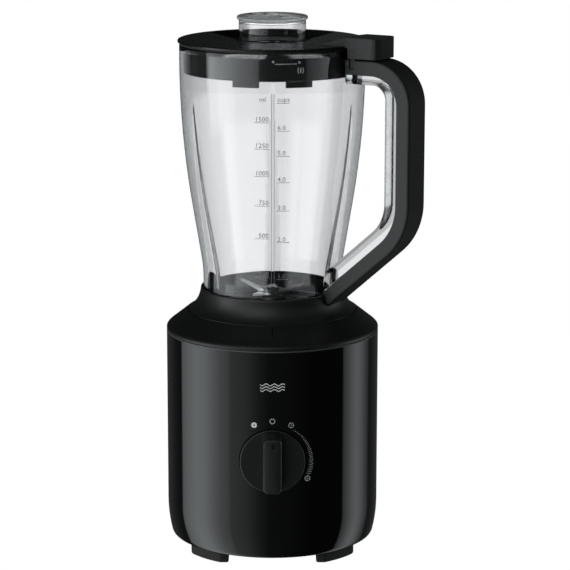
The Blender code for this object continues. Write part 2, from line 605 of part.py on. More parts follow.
def handle_grip():
    bar = handle_bar(handle_line(0, INSIDE_WALL, 46.0), handle_line(GRIP_DEPTH, INSIDE_WALL, 46.0), GRIP_HALF)
    grip = piece("handle_grip", bar, SATIN, turn=HANDLE_AZIMUTH)
    clearance = [(0, 170), (WELL_R + 1, 170)] + [(r + GAP, z + 0.2) for r, z in COLLAR_FLARE]
    clearance += [(53.4, COLLAR_TOP_Z + GAP), (JUG_BOTTOM_R + GAP, COLLAR_TOP_Z + GAP)]
    clearance += [(r, z) for r, z in jug_line(GAP) if z > COLLAR_TOP_Z] + [(0, JUG_TOP_Z)]
    cut(grip, tool("grip_clearance", turned(clearance, BIG)))
    slot_low = (PRONG_IN - PRONG_ROOM, -GRIP_HALF - 5, PRONG_LOW_Z - PRONG_ROOM)
    slot_high = (PRONG_OUT + PRONG_ROOM, GRIP_HALF + 5, HANDLE_TOP_Z + 5)
    cut(grip, tool("prong_slot", block(slot_low, slot_high), turn=HANDLE_AZIMUTH))
    ends = (CHANNEL_START, CHANNEL_END)
    channel = handle_bar(handle_line(CHANNEL_WALL, *ends), handle_line(GRIP_DEPTH + 2, *ends), CHANNEL_HALF)
    cut(grip, tool("grip_channel", channel, turn=HANDLE_AZIMUTH))


def jug_collar():
    inside = JUG_BOTTOM_R + GAP
    bottom = RING_LOW + RING_T + GAP
    top = [(53.6, COLLAR_TOP_Z), (inside, COLLAR_TOP_Z)]
    ledge = [(inside, FLOOR_Z - 5.3), (47.0, FLOOR_Z - 5.3), (47.0, 174.7), (49.0, 174.7), (49.0, bottom)]
    groove = [(57.0, bottom), (57.0, 178.0), (60.0, 178.0), (60.0, bottom), (62.7, bottom)]
    outside = [(62.7, 181.2), (63.3, 181.2)]
    collar = piece("jug_collar", turned(COLLAR_FLARE + top + ledge + groove + outside, BIG), SATIN)
    pockets = [sector(LUG_IN - 0.4, LUG_OUT + 0.4, a, LUG_SPAN + 1, bottom - 3, bottom + LUG_H + 0.4)
               for a in LUG_AZIMUTHS]
    cut(collar, tool("lug_pockets", together(*pockets)))


def blade_unit_housing():
    hub = [(6.0, 171.5), (12.0, 171.5), (12.0, 180.0), (48.0, 180.0), (48.0, FLOOR_Z - 5), (51.9, FLOOR_Z - 5)]
    floor = [(51.9, FLOOR_Z), (16.0, FLOOR_Z), (12.0, 185.0), (9.5, 192.0), (6.0, 192.0)]
    piece("blade_housing", turned(hub + floor, MEDIUM), LID_MATT)
    piece("jug_seal", tube(49.7, 51.8, FLOOR_Z + GAP, JUG_LOW_Z - GAP, MEDIUM), RUBBER)
    piece("lower_bush", tube(BEARING_BORE, 5.7, 172.0, 178.0), BRASS)
    piece("upper_bush", tube(BEARING_BORE, 5.7, 182.0, 188.0), BRASS)
    piece("shaft_seal", tube(SHAFT_R + GAP, 5.7, 188.3, 191.7), RUBBER)


# ---- Blades ----------------------------------------------------------------------------------------------------

def blade(name, low, turn, rise, reach):
    """Two arms across the shaft, narrow at their tips and bent at the hub."""
    lift = (reach - BLADE_BEND_X) * math.tan(math.radians(rise))
    stations = ((-reach, -1.0, 2.4, lift), (-BLADE_BEND_X, -BLADE_HALF, BLADE_HALF, 0.0),
                (BLADE_BEND_X, -BLADE_HALF, BLADE_HALF, 0.0), (reach, -2.4, 1.0, lift))
    sections = []
    for x, front, back, up in stations:
        under, over = low + up, low + up + BLADE_T
        sections.append([(x, front, under), (x, back, under), (x, back, over), (x, front, over)])
    arms = piece(name, loft(sections), STEEL, turn=turn)
    cut(arms, tool(f"{name}_hole", rod(SPINDLE_R + GAP, low - 5, low + 8)))


def blades():
    shaft = [(0, DRIVEN_LOW), (SHAFT_R, DRIVEN_LOW), (SHAFT_R, SPINDLE_LOW), (SPINDLE_R, SPINDLE_LOW)]
    piece("blade_shaft", turned(shaft + [(SPINDLE_R, SPINDLE_TOP), (0, SPINDLE_TOP)], SMALL), STEEL)
    bore = SPINDLE_R + GAP
    piece("blade_spacer", tube(bore, 7.0, SPINDLE_LOW + GAP, LOWER_BLADE_Z - GAP), STEEL)
    blade("lower_blade", LOWER_BLADE_Z, 38, -3, LOWER_REACH)
    blade("upper_blade", UPPER_BLADE_Z, -17, 22, UPPER_REACH)
    low, roof = UPPER_BLADE_Z + BLADE_T + GAP, SPINDLE_TOP + GAP
    dome = [(0, low + NUT_H + 1.1), (NUT_R - 1.2, low + NUT_H + 0.8), (NUT_R, low + NUT_H), (NUT_R, low)]
    piece("cap_nut", turned(dome + [(bore, low), (bore, roof), (0, roof)], 6 * 4), STEEL)


# ---- Lid and measuring cap -------------------------------------------------------------------------------------

def recess_outline(grow=0.0):
    """Round in front of the cap, flaring out to a wide arc at the back."""
    front = arc(RECESS_FRONT_R + grow, 180, 360, 10)
    half = math.degrees(math.asin(RECESS_BACK_HALF / RECESS_BACK_R))
    return front + arc(RECESS_BACK_R + grow, 90 - half, 90 + half, 8)


def lid():
    top = [(0, LID_TOP_Z), (LID_R - 1.0, LID_TOP_Z), (LID_R, LID_TOP_Z - 0.8), (LID_R, LID_EDGE_Z)]
    plug = top + [(SKIRT_R, LID_EDGE_Z), (SKIRT_R, SKIRT_LOW_Z), (0, SKIRT_LOW_Z)]
    cover = piece("lid", turned(plug, BIG), LID_MATT)
    hollow = tool("lid_hollow", rod(SKIRT_R - SKIRT_T, 350, LID_TOP_Z - LID_T, BIG))
    cut(hollow, tool("recess_bed", prism(recess_outline(LID_T), RECESS_FLOOR_Z - LID_T, 395)))
    cut(cover, hollow)
    cut(cover, tool("recess", prism(recess_outline(), RECESS_FLOOR_Z, 395)))
    cut(cover, tool("cap_hole", rod(CAP_HOLE_R, 350, 395, BIG)))

    join(cover, tool("lid_tab", tab_end(), turn=HANDLE_AZIMUTH))
    join(cover, tool("lid_ridge", tab_ridge(), turn=HANDLE_AZIMUTH))
    prong = block((PRONG_IN, -PRONG_HALF, PRONG_LOW_Z), (PRONG_OUT, PRONG_HALF, TAB_LOW_Z + 1))
    join(cover, tool("lid_prong", prong, turn=HANDLE_AZIMUTH))
    lugs = [sector(62.9, 65.6, a, 17, SKIRT_LOW_Z - 4.5, SKIRT_LOW_Z + 2) for a in LID_LUG_AZIMUTHS]
    join(cover, tool("lid_lugs", together(*lugs)))
    piece("lid_seal", tube(SKIRT_R + GAP + 0.6, 69.0, JUG_TOP_Z + GAP, LID_EDGE_Z - GAP, MEDIUM), RUBBER)


def tab_end():
    """The tab over the handle, in plan a bar with two rounded corners."""
    corner = 4.0
    plan = [(TAB_START, -TAB_HALF), *arc(corner, -90, 0, 3, (TAB_END - corner, -TAB_HALF + corner)),
            *arc(corner, 0, 90, 3, (TAB_END - corner, TAB_HALF - corner)), (TAB_START, TAB_HALF)]
    return prism(plan, TAB_LOW_Z, TAB_TOP_Z)


def tab_ridge():
    """The tab's root, which slopes down onto the lid's top."""
    side = [(44.0, 384.4), (50.0, 386.8), (66.0, 390.9), (70.0, TAB_TOP_Z - 0.2), (76.0, TAB_TOP_Z - 0.2)]
    side += [(76.0, 384.1), (44.0, 384.1)]
    return loft([[(r, y, z) for r, z in side] for y in (-TAB_HALF + 0.1, TAB_HALF - 0.1)])


def filler_cap():
    rim = [(0, 401.9), (17.0, 402.0), (21.0, 402.6), (25.4, CAP_TOP_Z), (CAP_RIM_R, 402.2), (CAP_RIM_R, 400.6)]
    bead_low = RECESS_FLOOR_Z + GAP
    outside = [(CAP_R, 399.4), (CAP_R, 382.0), (26.8, 381.6), (26.8, bead_low), (CAP_R, bead_low)]
    inner = CAP_R - CAP_WALL
    inside = [(CAP_R, CAP_LOW_Z), (inner, CAP_LOW_Z), (inner, 398.6), (0, 399.4)]
    piece("filler_cap", turned(rim + outside + inside, MEDIUM), CLEAR)


base_housing()
top_cover()
bottom_plate()
feet()
cord_gland()
speed_switch()
control_board()
interlock_switch()
stator()
motor_frame()
brushes()
rotor()
drive_coupling()
control_knob()
interlock_ring()
jug()
handle_grip()
jug_collar()
blade_unit_housing()
blades()
driven_coupling()
lid()
filler_cap()
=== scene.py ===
"""Looks of the countertop blender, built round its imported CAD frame.

Shapes are written in millimetres about the motor axis, with +Z up and the knob's side at -Y, and are
turned into the frame's metres when an object is made. Azimuths are in degrees, 0 along +X.
"""

from math import acos, asin, atan2, cos, degrees, hypot, pi, radians, sin, sqrt, tan

import bmesh
import bpy
from mathutils import Matrix, Vector


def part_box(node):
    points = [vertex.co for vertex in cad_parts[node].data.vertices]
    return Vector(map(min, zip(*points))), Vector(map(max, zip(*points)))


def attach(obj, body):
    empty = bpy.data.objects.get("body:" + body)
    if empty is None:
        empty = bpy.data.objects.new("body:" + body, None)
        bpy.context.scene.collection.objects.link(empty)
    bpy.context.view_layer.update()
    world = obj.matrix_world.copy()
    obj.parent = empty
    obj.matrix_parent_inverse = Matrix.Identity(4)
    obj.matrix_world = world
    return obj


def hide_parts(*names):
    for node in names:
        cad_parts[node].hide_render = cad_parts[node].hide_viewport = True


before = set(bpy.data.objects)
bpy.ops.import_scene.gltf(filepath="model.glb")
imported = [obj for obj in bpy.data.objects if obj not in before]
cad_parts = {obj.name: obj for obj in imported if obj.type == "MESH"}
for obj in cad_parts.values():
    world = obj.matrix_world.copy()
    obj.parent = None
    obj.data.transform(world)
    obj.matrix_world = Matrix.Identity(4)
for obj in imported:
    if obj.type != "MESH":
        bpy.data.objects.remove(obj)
scene = bpy.context.scene
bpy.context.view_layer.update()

MM = 0.001
SHAFT_LOW, SHAFT_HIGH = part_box("motor_shaft")
AXIS = Vector(((SHAFT_LOW.x + SHAFT_HIGH.x) / 2, (SHAFT_LOW.y + SHAFT_HIGH.y) / 2, 0.0))
TO_FRAME = Matrix.Translation(AXIS) @ Matrix.Scale(MM, 4)


def top_of(node):
    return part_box(node)[1].z / MM


def bottom_of(node):
    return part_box(node)[0].z / MM


# Sides of round shapes
FINE, MEDIUM = 160, 64

# Sizes shared by several pieces, mm
GAP = 0.3
BASE_R, BASE_WALL = 80.0, 3.0
FOOT_H = bottom_of("base_housing")
BASE_TOP_Z = top_of("base_housing")
CURVE_TOP_Z, CURVE_IN = 35.0, 3.3
COVER_TOP_Z, COVER_EDGE_Z, CONE_TOP_R = top_of("top_cover"), 169.2, 64.3
WELL_R, DECK_Z = 63.6, 163.0
GLAND_Z = 40.0
KNOB_LOW, KNOB_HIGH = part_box("control_knob")
KNOB_Z = (KNOB_LOW.z + KNOB_HIGH.z) / 2 / MM
KNOB_R = 24.0
KNOB_BACK = (AXIS.y - KNOB_HIGH.y) / MM
KNOB_REACH = (AXIS.y - KNOB_LOW.y) / MM
KNOB_FACE = 81.0
COLLAR_TOP_Z = top_of("jug_collar")
JUG_LOW_Z, JUG_TOP_Z = bottom_of("jug"), top_of("jug")
FLOOR_Z = 183.0
HANDLE_AZIMUTH = -30.0
RIB_AZIMUTHS = (-30.0, 90.0, -150.0)
LUG_AZIMUTHS = (90, 210, 330)
LID_TOP_Z, LID_R, LID_EDGE_Z = 385.4, 70.3, 383.6
SKIRT_R, SKIRT_LOW_Z = 66.0, 362.0
TAB_TOP_Z = top_of("lid")
CAP_R, CAP_LOW_Z, CAP_TOP_Z = 24.9, bottom_of("filler_cap"), top_of("filler_cap")
INK_LOW, INK_HIGH = 0.02, 0.09  # above the surface it is printed on


# ---- Shapes ----

def evenly(start, end, steps):
    return [start + (end - start) * i / steps for i in range(steps + 1)]


def arc(radius, start, end, steps, centre=(0.0, 0.0)):
    """Points along a circle, from one angle to the other."""
    turns = [radians(angle) for angle in evenly(start, end, steps)]
    return [(centre[0] + radius * cos(a), centre[1] + radius * sin(a)) for a in turns]


def bend(start, control, end, steps):
    """Points along a curve that leaves start towards control and arrives at end from it."""
    points = []
    for t in evenly(0, 1, steps):
        a, b, c = (1 - t) ** 2, 2 * t * (1 - t), t * t
        points.append(tuple(a * p + b * q + c * r for p, q, r in zip(start, control, end)))
    return points


def rounded(corners, closed=True, steps=4):
    """A line through (x, y, rounding) corners, each rounded off over that length.

    A point just outside each rounding keeps the flat run beside it truly flat when it is shaded smooth.
    """
    line = []
    for i, (x, y, size) in enumerate(corners):
        here = Vector((x, y))
        inner = closed or 0 < i < len(corners) - 1
        if not size or not inner:
            line.append((x, y))
            continue
        ends, guards = [], []
        for j in (i - 1, i + 1):
            side = Vector(corners[j % len(corners)][:2]) - here
            ends.append(here + side.normalized() * min(size, side.length * 0.44))
            guards.append(here + side.normalized() * min(size * 1.25, side.length * 0.48))
        line += [tuple(guards[0]), *bend(ends[0], here, ends[1], steps), tuple(guards[1])]
    return line


def oblong(left, low, right, high):
    return [(left, low), (right, low), (right, high), (left, high)]


def banded(bm, rings):
    """Puts faces between each ring of vertices and the next, leaving out a corner that both ends share."""
    for near, far in zip(rings, rings[1:]):
        for i in range(len(near)):
            j = (i + 1) % len(near)
            bm.faces.new(list(dict.fromkeys((near[i], near[j], far[j], far[i]))))
    return bm


def loft(sections):
    """A solid through rings of points, each ring with as many points as the next."""
    bm = bmesh.new()
    rings = [[bm.verts.new(point) for point in section] for section in sections]
    banded(bm, rings)
    bm.faces.new(rings[0])
    bm.faces.new(rings[-1])
    return bm


def prism(outline, low, high):
    return loft([[(x, y, z) for x, y in outline] for z in (low, high)])


def block(low, high):
    return prism(oblong(*low[:2], *high[:2]), low[2], high[2])


def sector(inner, outer, middle, span, low, high, steps=8):
    start, end = middle - span / 2, middle + span / 2
    return prism(arc(inner, start, end, steps) + arc(outer, end, start, steps), low, high)


def sectors(inner, outer, middles, span, low, high):
    return together([sector(inner, outer, middle, span, low, high) for middle in middles])


def turned(profile, sides=FINE):
    """(radius, height) points turned about Z. One that starts on the axis ends there; any other is a ring."""
    bm = bmesh.new()
    turns = [2 * pi * i / sides for i in range(sides)]
    rings = []
    for radius, z in profile:
        if radius:
            rings.append([bm.verts.new((radius * cos(a), radius * sin(a), z)) for a in turns])
        else:
            rings.append([bm.verts.new((0, 0, z))] * sides)
    if profile[0][0]:
        rings.append(rings[0])
    return banded(bm, rings)


def lathe(corners, sides=FINE, closed=True):
    """Turns a line of (radius, height, rounding) corners about Z."""
    return turned(rounded(corners, closed), sides)


def drum(radius, low, high, sides=FINE):
    return turned(oblong(0, low, radius, high), sides)


def swung(bm, azimuth):
    bm.transform(Matrix.Rotation(radians(azimuth), 4, "Z"))
    return bm


def tipped(bm, z, tip=90, y=0.0):
    """Tips a shape built along Z over about X, then lifts it to z: 90 faces the front, and -90 the back."""
    bm.transform(Matrix.Translation((0, y, z)) @ Matrix.Rotation(radians(tip), 4, "X"))
    return bm


def together(parts):
    whole = bmesh.new()
    for part in parts:
        carrier = bpy.data.meshes.new("carrier")
        part.to_mesh(carrier)
        part.free()
        whole.from_mesh(carrier)
        bpy.data.meshes.remove(carrier)
    return whole


# ---- Objects ----

CUT, JOIN, KEEP = "DIFFERENCE", "UNION", "INTERSECT"


def in_scene(name, data):
    obj = bpy.data.objects.new(name, data)
    scene.collection.objects.link(obj)
    return obj


def smoothed(mesh, sharp):
    mesh.shade_smooth()
    mesh.set_sharp_from_angle(angle=radians(sharp))


def evaluated(obj):
    bpy.context.view_layer.update()
    return bpy.data.meshes.new_from_object(obj.evaluated_get(bpy.context.evaluated_depsgraph_get()))


def new_object(name, bm, finishes=(), sharp=30):
    bmesh.ops.recalc_face_normals(bm, faces=bm.faces)
    bm.transform(TO_FRAME)
    mesh = bpy.data.meshes.new(name)
    bm.to_mesh(mesh)
    bm.free()
    for finish in finishes:
        mesh.materials.append(finish.material)
    smoothed(mesh, sharp)
    return in_scene(name, mesh)


def combined(obj, steps, sharp=30):
    """Takes (operation, shape) pairs in turn, and keeps the result as the object's own mesh."""
    for operation, shape in steps:
        helper = new_object("helper", shape)
        modifier = obj.modifiers.new("combine", "BOOLEAN")
        modifier.operation = operation
        modifier.object = helper
        result = evaluated(obj)
        obj.modifiers.clear()
        before, obj.data = obj.data, result
        bpy.data.meshes.remove(before)
        bpy.data.objects.remove(helper)
    smoothed(obj.data, sharp)
    return obj


def shape_from(bm, *steps):
    """A shape that is itself made by cutting or joining, as a bmesh in millimetres again."""
    obj = combined(new_object("shape", bm), steps)
    shape = bmesh.new()
    shape.from_mesh(obj.data)
    shape.transform(TO_FRAME.inverted())
    bpy.data.objects.remove(obj)
    return shape


def off_axis(point):
    return Vector((point.x - AXIS.x, point.y - AXIS.y, 0.0))


def painted(obj, finishes, choose):
    """Gives each face the finish whose number choose(face, mm from the axis, height in mm) says."""
    obj.data.materials.clear()
    for finish in finishes:
        obj.data.materials.append(finish.material)
    for face in obj.data.polygons:
        face.material_index = int(choose(face, off_axis(face.center).length / MM, face.center.z / MM))
    return obj


def softened(obj, width, angle, segments):
    """Rounds an object's edges a little."""
    modifier = obj.modifiers.new("edge", "BEVEL")
    modifier.width = width * MM
    modifier.segments = segments
    modifier.limit_method = "ANGLE"
    modifier.angle_limit = radians(angle)
    modifier.harden_normals = True
    return obj


def settled(obj, body, slot, *nodes):
    """Fastens a finished piece to its CAD body, and hides the CAD nodes that it stands for."""
    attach(obj, body)
    if nodes:
        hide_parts(*nodes)


def piece(name, bm, finish, body, slot, *nodes, steps=(), bevel=0.0):
    """A whole piece with one finish, cut or joined in steps."""
    obj = combined(new_object(name, bm, [finish]), steps)
    if bevel:
        softened(obj, bevel, 40, 2)
    settled(obj, body, slot, *nodes)


# ---- Materials ----

def shade(grey, cast=(1.0, 1.0, 1.0)):
    return tuple(grey * c for c in cast)


RANGE = ("From Min", "From Max", "To Min", "To Max")


class Wiring:
    """Puts nodes into one node tree."""

    def __init__(self, tree):
        self.tree = tree

    def feed(self, node, inputs):
        """Gives a node's inputs, by name or number, constants or other nodes' outputs."""
        for name, value in inputs.items():
            if isinstance(value, bpy.types.NodeSocket):
                self.tree.links.new(value, node.inputs[name])
            else:
                node.inputs[name].default_value = value

    def node(self, kind, inputs=None):
        node = self.tree.nodes.new(f"ShaderNode{kind}")
        self.feed(node, inputs or {})
        return node

    def maths(self, operation, first, *others):
        """Takes the first value with each of the others in turn."""
        for other in others:
            node = self.node("Math", {0: first, 1: other})
            node.operation = operation
            first = node.outputs[0]
        return first

    def times(self, *values):
        return self.maths("MULTIPLY", *values)

    def plus(self, *values):
        return self.maths("ADD", *values)

    def between(self, value, start, end):
        """0 before start and 1 after end, smooth between; it runs the other way if end is less than start."""
        limits = (start, end, 0.0, 1.0) if start < end else (end, start, 1.0, 0.0)
        node = self.node("MapRange", {"Value": value, **dict(zip(RANGE, limits))})
        node.interpolation_type = "SMOOTHSTEP"
        return node.outputs["Result"]

    def pick(self, choice, first, second):
        """The first value where the choice is 0, and the second where it is 1."""
        return self.node("Mix", {0: choice, 2: first, 3: second}).outputs[0]

    def seen_directly(self):
        """1 on a ray that comes from the camera with nothing but clear plastic in its way."""
        rays = self.node("LightPath").outputs
        straight = self.maths("MAXIMUM", rays["Is Camera Ray"], rays["Is Transmission Ray"])
        bounces = self.plus(rays["Glossy Depth"], rays["Diffuse Depth"])
        return self.times(straight, self.maths("LESS_THAN", bounces, 0.5))


class Finish(Wiring):
    """A material as it is put together. Its patterns lie on the object, with their sizes in mm."""

    def __init__(self, name, colour, roughness, metallic=0.0):
        self.colour, self.roughness = colour, roughness
        self.material = bpy.data.materials.new(name)
        self.material.use_nodes = True
        super().__init__(self.material.node_tree)
        self.shader = self.tree.nodes["Principled BSDF"]
        self.set({"Base Color": (*colour, 1.0), "Roughness": roughness, "Metallic": metallic})

    def set(self, inputs):
        self.feed(self.shader, inputs)

    def texture(self, kind, inputs, stretch=(1.0, 1.0, 1.0)):
        place = self.node("TexCoord").outputs["Object"]
        scaled = self.node("Mapping", {"Vector": place, "Scale": stretch}).outputs["Vector"]
        return self.node(kind, {"Vector": scaled, **inputs})

    def noise(self, size, detail=3.0, stretch=(1.0, 1.0, 1.0)):
        """A noise pattern with features of about this size."""
        return self.texture("TexNoise", {"Scale": 1 / (size * MM), "Detail": detail}, stretch).outputs["Fac"]

    def tint(self, pattern, dark, light, start=0.35, end=0.65):
        """Lets a pattern move the colour between two shades."""
        node = self.node("ValToRGB", {"Fac": pattern})
        for element, position, colour in zip(node.color_ramp.elements, (start, end), (dark, light)):
            element.position = position
            element.color = (*colour, 1.0)
        self.set({"Base Color": node.outputs["Color"]})

    def mottle(self, pattern, low, high):
        """Lets a pattern move the colour between two multiples of itself."""
        self.tint(pattern, *(tuple(c * share for c in self.colour) for share in (low, high)))

    def scuff(self, pattern, low, high):
        """Lets a pattern move the roughness between two multiples of itself."""
        limits = (0.3, 0.7, self.roughness * low, self.roughness * high)
        spread = self.node("MapRange", {"Value": pattern, **dict(zip(RANGE, limits))})
        self.set({"Roughness": spread.outputs["Result"]})

    def bump(self, pattern, depth):
        """Raises the surface by a pattern."""
        bump = self.node("Bump", {"Strength": 1.0, "Distance": depth * MM, "Height": pattern})
        self.set({"Normal": bump.outputs["Normal"]})


def gloss_plastic(name, grey, roughness):
    """Polished moulding: faint waviness from the mould and fine handling marks in the shine."""
    finish = Finish(name, shade(grey), roughness)
    finish.mottle(finish.noise(9.0), 0.9, 1.1)
    finish.scuff(finish.noise(1.6, 5.0), 0.8, 1.25)
    finish.bump(finish.noise(14.0, 1.0), 0.006)
    return finish


def grained_plastic(name, grey, roughness, grain=0.35, depth=0.012, cast=(0.98, 1.0, 1.0), specular=0.5):
    """Moulding with a fine spark-eroded grain."""
    finish = Finish(name, shade(grey, cast), roughness)
    finish.set({"Specular IOR Level": specular})
    finish.mottle(finish.noise(2.5, 4.0), 0.85, 1.15)
    finish.scuff(finish.noise(1.2, 3.0), 0.92, 1.1)
    finish.bump(finish.noise(grain, 2.0), depth)
    return finish


def rubber(name, grey):
    finish = Finish(name, shade(grey), 0.8)
    finish.set({"Specular IOR Level": 0.35})
    finish.mottle(finish.noise(1.5, 4.0), 0.8, 1.2)
    finish.bump(finish.noise(0.5, 3.0), 0.03)
    return finish


def clear_plastic(name, grey, edge, roughness, ior=1.49):
    """Clear moulding, greyer where it is looked through along its wall, and not equally smooth all over. The
    greying towards glancing views is partly the longer way through the wall and partly painted shade, for a
    darker background seen through the clear parts.
    """
    finish = Finish(name, shade(grey), roughness)
    finish.set({"Transmission Weight": 1.0, "IOR": ior})
    slant, cast = finish.node("LayerWeight").outputs["Facing"], (1.0, 1.0, 1.01)
    finish.tint(slant, shade(grey, cast), shade(edge, cast), 0.15, 0.45)
    finish.scuff(finish.noise(6.0, 2.0), 0.5, 1.5)
    return finish


def metal(name, colour, roughness, stretch=(1.0, 1.0, 12.0), grain=0.6, depth=0.006):
    """Machined or ground metal, with its tool marks across the short direction of the stretch."""
    finish = Finish(name, colour, roughness, 1.0)
    marks = finish.noise(grain, 3.0, stretch)
    finish.mottle(finish.noise(4.0, 4.0), 0.9, 1.0)
    finish.scuff(marks, 0.7, 1.3)
    finish.bump(marks, depth)
    return finish


def ink(name, colour):
    """Printed or hot-stamped marks: slightly uneven ink."""
    finish = Finish(name, colour, 0.45)
    finish.mottle(finish.noise(0.8, 4.0), 0.88, 1.0)
    return finish


def laminations(name):
    """Stacked thin steel sheets."""
    finish = Finish(name, shade(0.22), 0.45, 1.0)
    layers = finish.noise(0.5, 1.0, (0.02, 0.02, 1.0))
    finish.tint(layers, shade(0.12), shade(0.3))
    finish.bump(layers, 0.05)
    return finish


def windings(name):
    """Turns of lacquered copper wire, side by side."""
    finish = Finish(name, (0.5, 0.2, 0.08), 0.3, 1.0)
    wave = finish.texture("TexWave", {"Scale": 900.0, "Distortion": 1.0})
    wave.bands_direction = "DIAGONAL"
    finish.tint(wave.outputs["Fac"], (0.3, 0.1, 0.03), (0.6, 0.26, 0.1))
    finish.bump(wave.outputs["Fac"], 0.15)
    return finish


def circuit_board(name):
    finish = Finish(name, (0.02, 0.16, 0.06), 0.4)
    lacquer = {"Color1": (0.015, 0.12, 0.045, 1.0), "Color2": (0.02, 0.17, 0.06, 1.0)}
    tracks = finish.texture("TexBrick", {"Scale": 130.0, "Mortar": (0.05, 0.3, 0.1, 1.0), **lacquer})
    finish.set({"Base Color": tracks.outputs["Color"]})
    finish.bump(tracks.outputs["Fac"], 0.05)
    return finish


GLOSS = gloss_plastic("gloss_black", 0.0015, 0.022)
SKIRT_GLOSS = gloss_plastic("skirt_black", 0.006, 0.08)
FLOOR_GLOSS = gloss_plastic("blade_floor_black", 0.003, 0.1)
# A lighter grey for the base shell's top outer edge: a painted highlight, the line of light that edge
# catches.
RIM_PAINTED_HIGHLIGHT = grained_plastic("shell_rim_painted_highlight", 0.08, 0.4)
SATIN = grained_plastic("satin_black", 0.0035, 0.42)
COLLAR_SATIN = grained_plastic("collar_black", 0.008, 0.38)
GRIP_SATIN = grained_plastic("grip_black", 0.013, 0.40, grain=0.3)
GRIP_BACK = rubber("grip_back", 0.008)
LID_SATIN = grained_plastic("lid_black", 0.003, 0.26)
RECESS_MATTE = grained_plastic("lid_recess", 0.002, 0.7, specular=0.1)
# The tab's sides take a much lighter grey than the lid: painted light. Its outer end takes a darker one:
# painted shade on the face turned away from the soft boxes.
TAB_SATIN_PAINTED_LIGHT = grained_plastic("tab_black_painted_light", 0.036, 0.55)
TAB_END_PAINTED_SHADE = rubber("tab_end_black_painted_shade", 0.009)
KNOB_SATIN = grained_plastic("knob_black", 0.012, 0.38, grain=0.25, depth=0.008)
NYLON = grained_plastic("natural_nylon", 0.62, 0.45, grain=0.5, cast=(1.0, 0.99, 0.94))
FOOT_RUBBER = rubber("foot_rubber", 0.018)
SEAL_RUBBER = rubber("seal_rubber", 0.03)
CARBON = rubber("pressed_carbon", 0.02)
CLEAR = clear_plastic("clear_jug", 0.86, 0.62, 0.004)
# A greyer copy of the jug's clear plastic for the ribs' inner faces: painted shade.
RIB_CLEAR_PAINTED_SHADE = clear_plastic("clear_ribs_painted_shade", 0.62, 0.5, 0.02)
# Greyer copies of the jug's clear plastic for the handle's core, darkest on its edge faces: partly the
# thicker plastic, and partly painted shade for the dark grip seen through the core.
CORE_CLEAR_PAINTED_SHADE = clear_plastic("clear_handle", 0.7, 0.58, 0.16, 1.2)
CORE_EDGE_PAINTED_SHADE = clear_plastic("clear_handle_edge_painted_shade", 0.31, 0.27, 0.16, 1.2)
CAP_CLEAR = clear_plastic("clear_cap", 0.9, 0.5, 0.01)
CAP_TOP_CLEAR = clear_plastic("clear_cap_top", 0.9, 0.88, 0.4)
BLADE_STEEL = metal("blade_steel", (0.78, 0.78, 0.77), 0.3, (12.0, 1.0, 1.0))
NUT_STEEL = metal("nut_steel", (0.3, 0.3, 0.3), 0.3)
BOLT_STEEL = metal("bolt_steel", (0.5, 0.5, 0.5), 0.3)
CAST_METAL = metal("cast_bracket", (0.55, 0.55, 0.56), 0.45, (1.0, 1.0, 1.0), 1.2, 0.03)
BRONZE = metal("sintered_bronze", (0.58, 0.42, 0.2), 0.4, (1.0, 1.0, 1.0), 0.4, 0.02)
LAMINATIONS = laminations("lamination_stack")
WINDINGS = windings("copper_winding")
BOARD = circuit_board("circuit_board")
PRINT = ink("light_print", (0.62, 0.63, 0.63))
BRIGHT_PRINT = ink("bright_print", (0.95, 0.95, 0.95))
SCALE_INK = ink("scale_print", (0.33, 0.34, 0.36))


# ---- Motor base ----

def set_upright_normals(obj):
    """Gives the straight outer wall its true round normals, so cut edges don't disturb its reflections."""
    mesh = obj.data
    normals = [Vector((0.0, 0.0, 0.0)) for _ in mesh.loops]
    for face in mesh.polygons:
        out = off_axis(face.center)
        on_wall = abs(out.length / MM - BASE_R) < 0.4 and face.normal.dot(out.normalized()) > 0.98
        if not on_wall or abs(face.normal.z) > 0.02:
            continue
        for index in face.loop_indices:
            point = mesh.vertices[mesh.loops[index].vertex_index].co
            if point.z / MM > CURVE_TOP_Z - 0.01:
                normals[index] = off_axis(point).normalized()
    mesh.normals_split_custom_set(normals)


def base_shell():
    fall = CURVE_TOP_Z - FOOT_H
    shares = evenly(0, 1, 18)[:-1]
    curve = [(BASE_R - CURVE_IN * share ** 2.2, CURVE_TOP_Z - fall * share, 0.0) for share in shares]
    inner_r, ledge_r = BASE_R - BASE_WALL, 73.0
    corners = [(inner_r, BASE_TOP_Z, 0.3), (BASE_R, BASE_TOP_Z, 1.0), *curve]
    corners += [(BASE_R - CURVE_IN - 0.4, FOOT_H, 1.6), (ledge_r, FOOT_H, 0.4), (ledge_r, 14.0, 0.0)]
    corners.append((inner_r, 38.0, 0.0))
    shell = new_object("base_shell", lathe(corners, 240))

    boss_r, boss_back, pocket_r, pocket_floor = 27.5, 71.5, KNOB_R + 0.7, 74.5
    wall_middle = drum(BASE_R - BASE_WALL / 2, 20, 150, 240)
    boss = shape_from(tipped(drum(boss_r, boss_back, 90, 96), KNOB_Z), (KEEP, wall_middle))
    corners = [(3.6, 60, 0), (3.6, pocket_floor, 0.3), (pocket_r, pocket_floor, 0.4), (pocket_r, 99, 0)]
    pocket = lathe([(0, 60, 0), *corners, (0, 99, 0)], 120, closed=False)
    gland_hole = tipped(drum(7.0, 60, 99, 48), GLAND_Z, -90)
    combined(shell, [(JOIN, boss), (CUT, tipped(pocket, KNOB_Z)), (CUT, gland_hole)])
    # The shell's top outer edge takes the lighter grey: a painted highlight line.
    painted(shell, (GLOSS, RIM_PAINTED_HIGHLIGHT), lambda face, out, z: z > BASE_TOP_Z - 1.0 and out > BASE_R - 1.2)
    set_upright_normals(shell)
    settled(shell, "base", "gloss_shell", "base_housing")


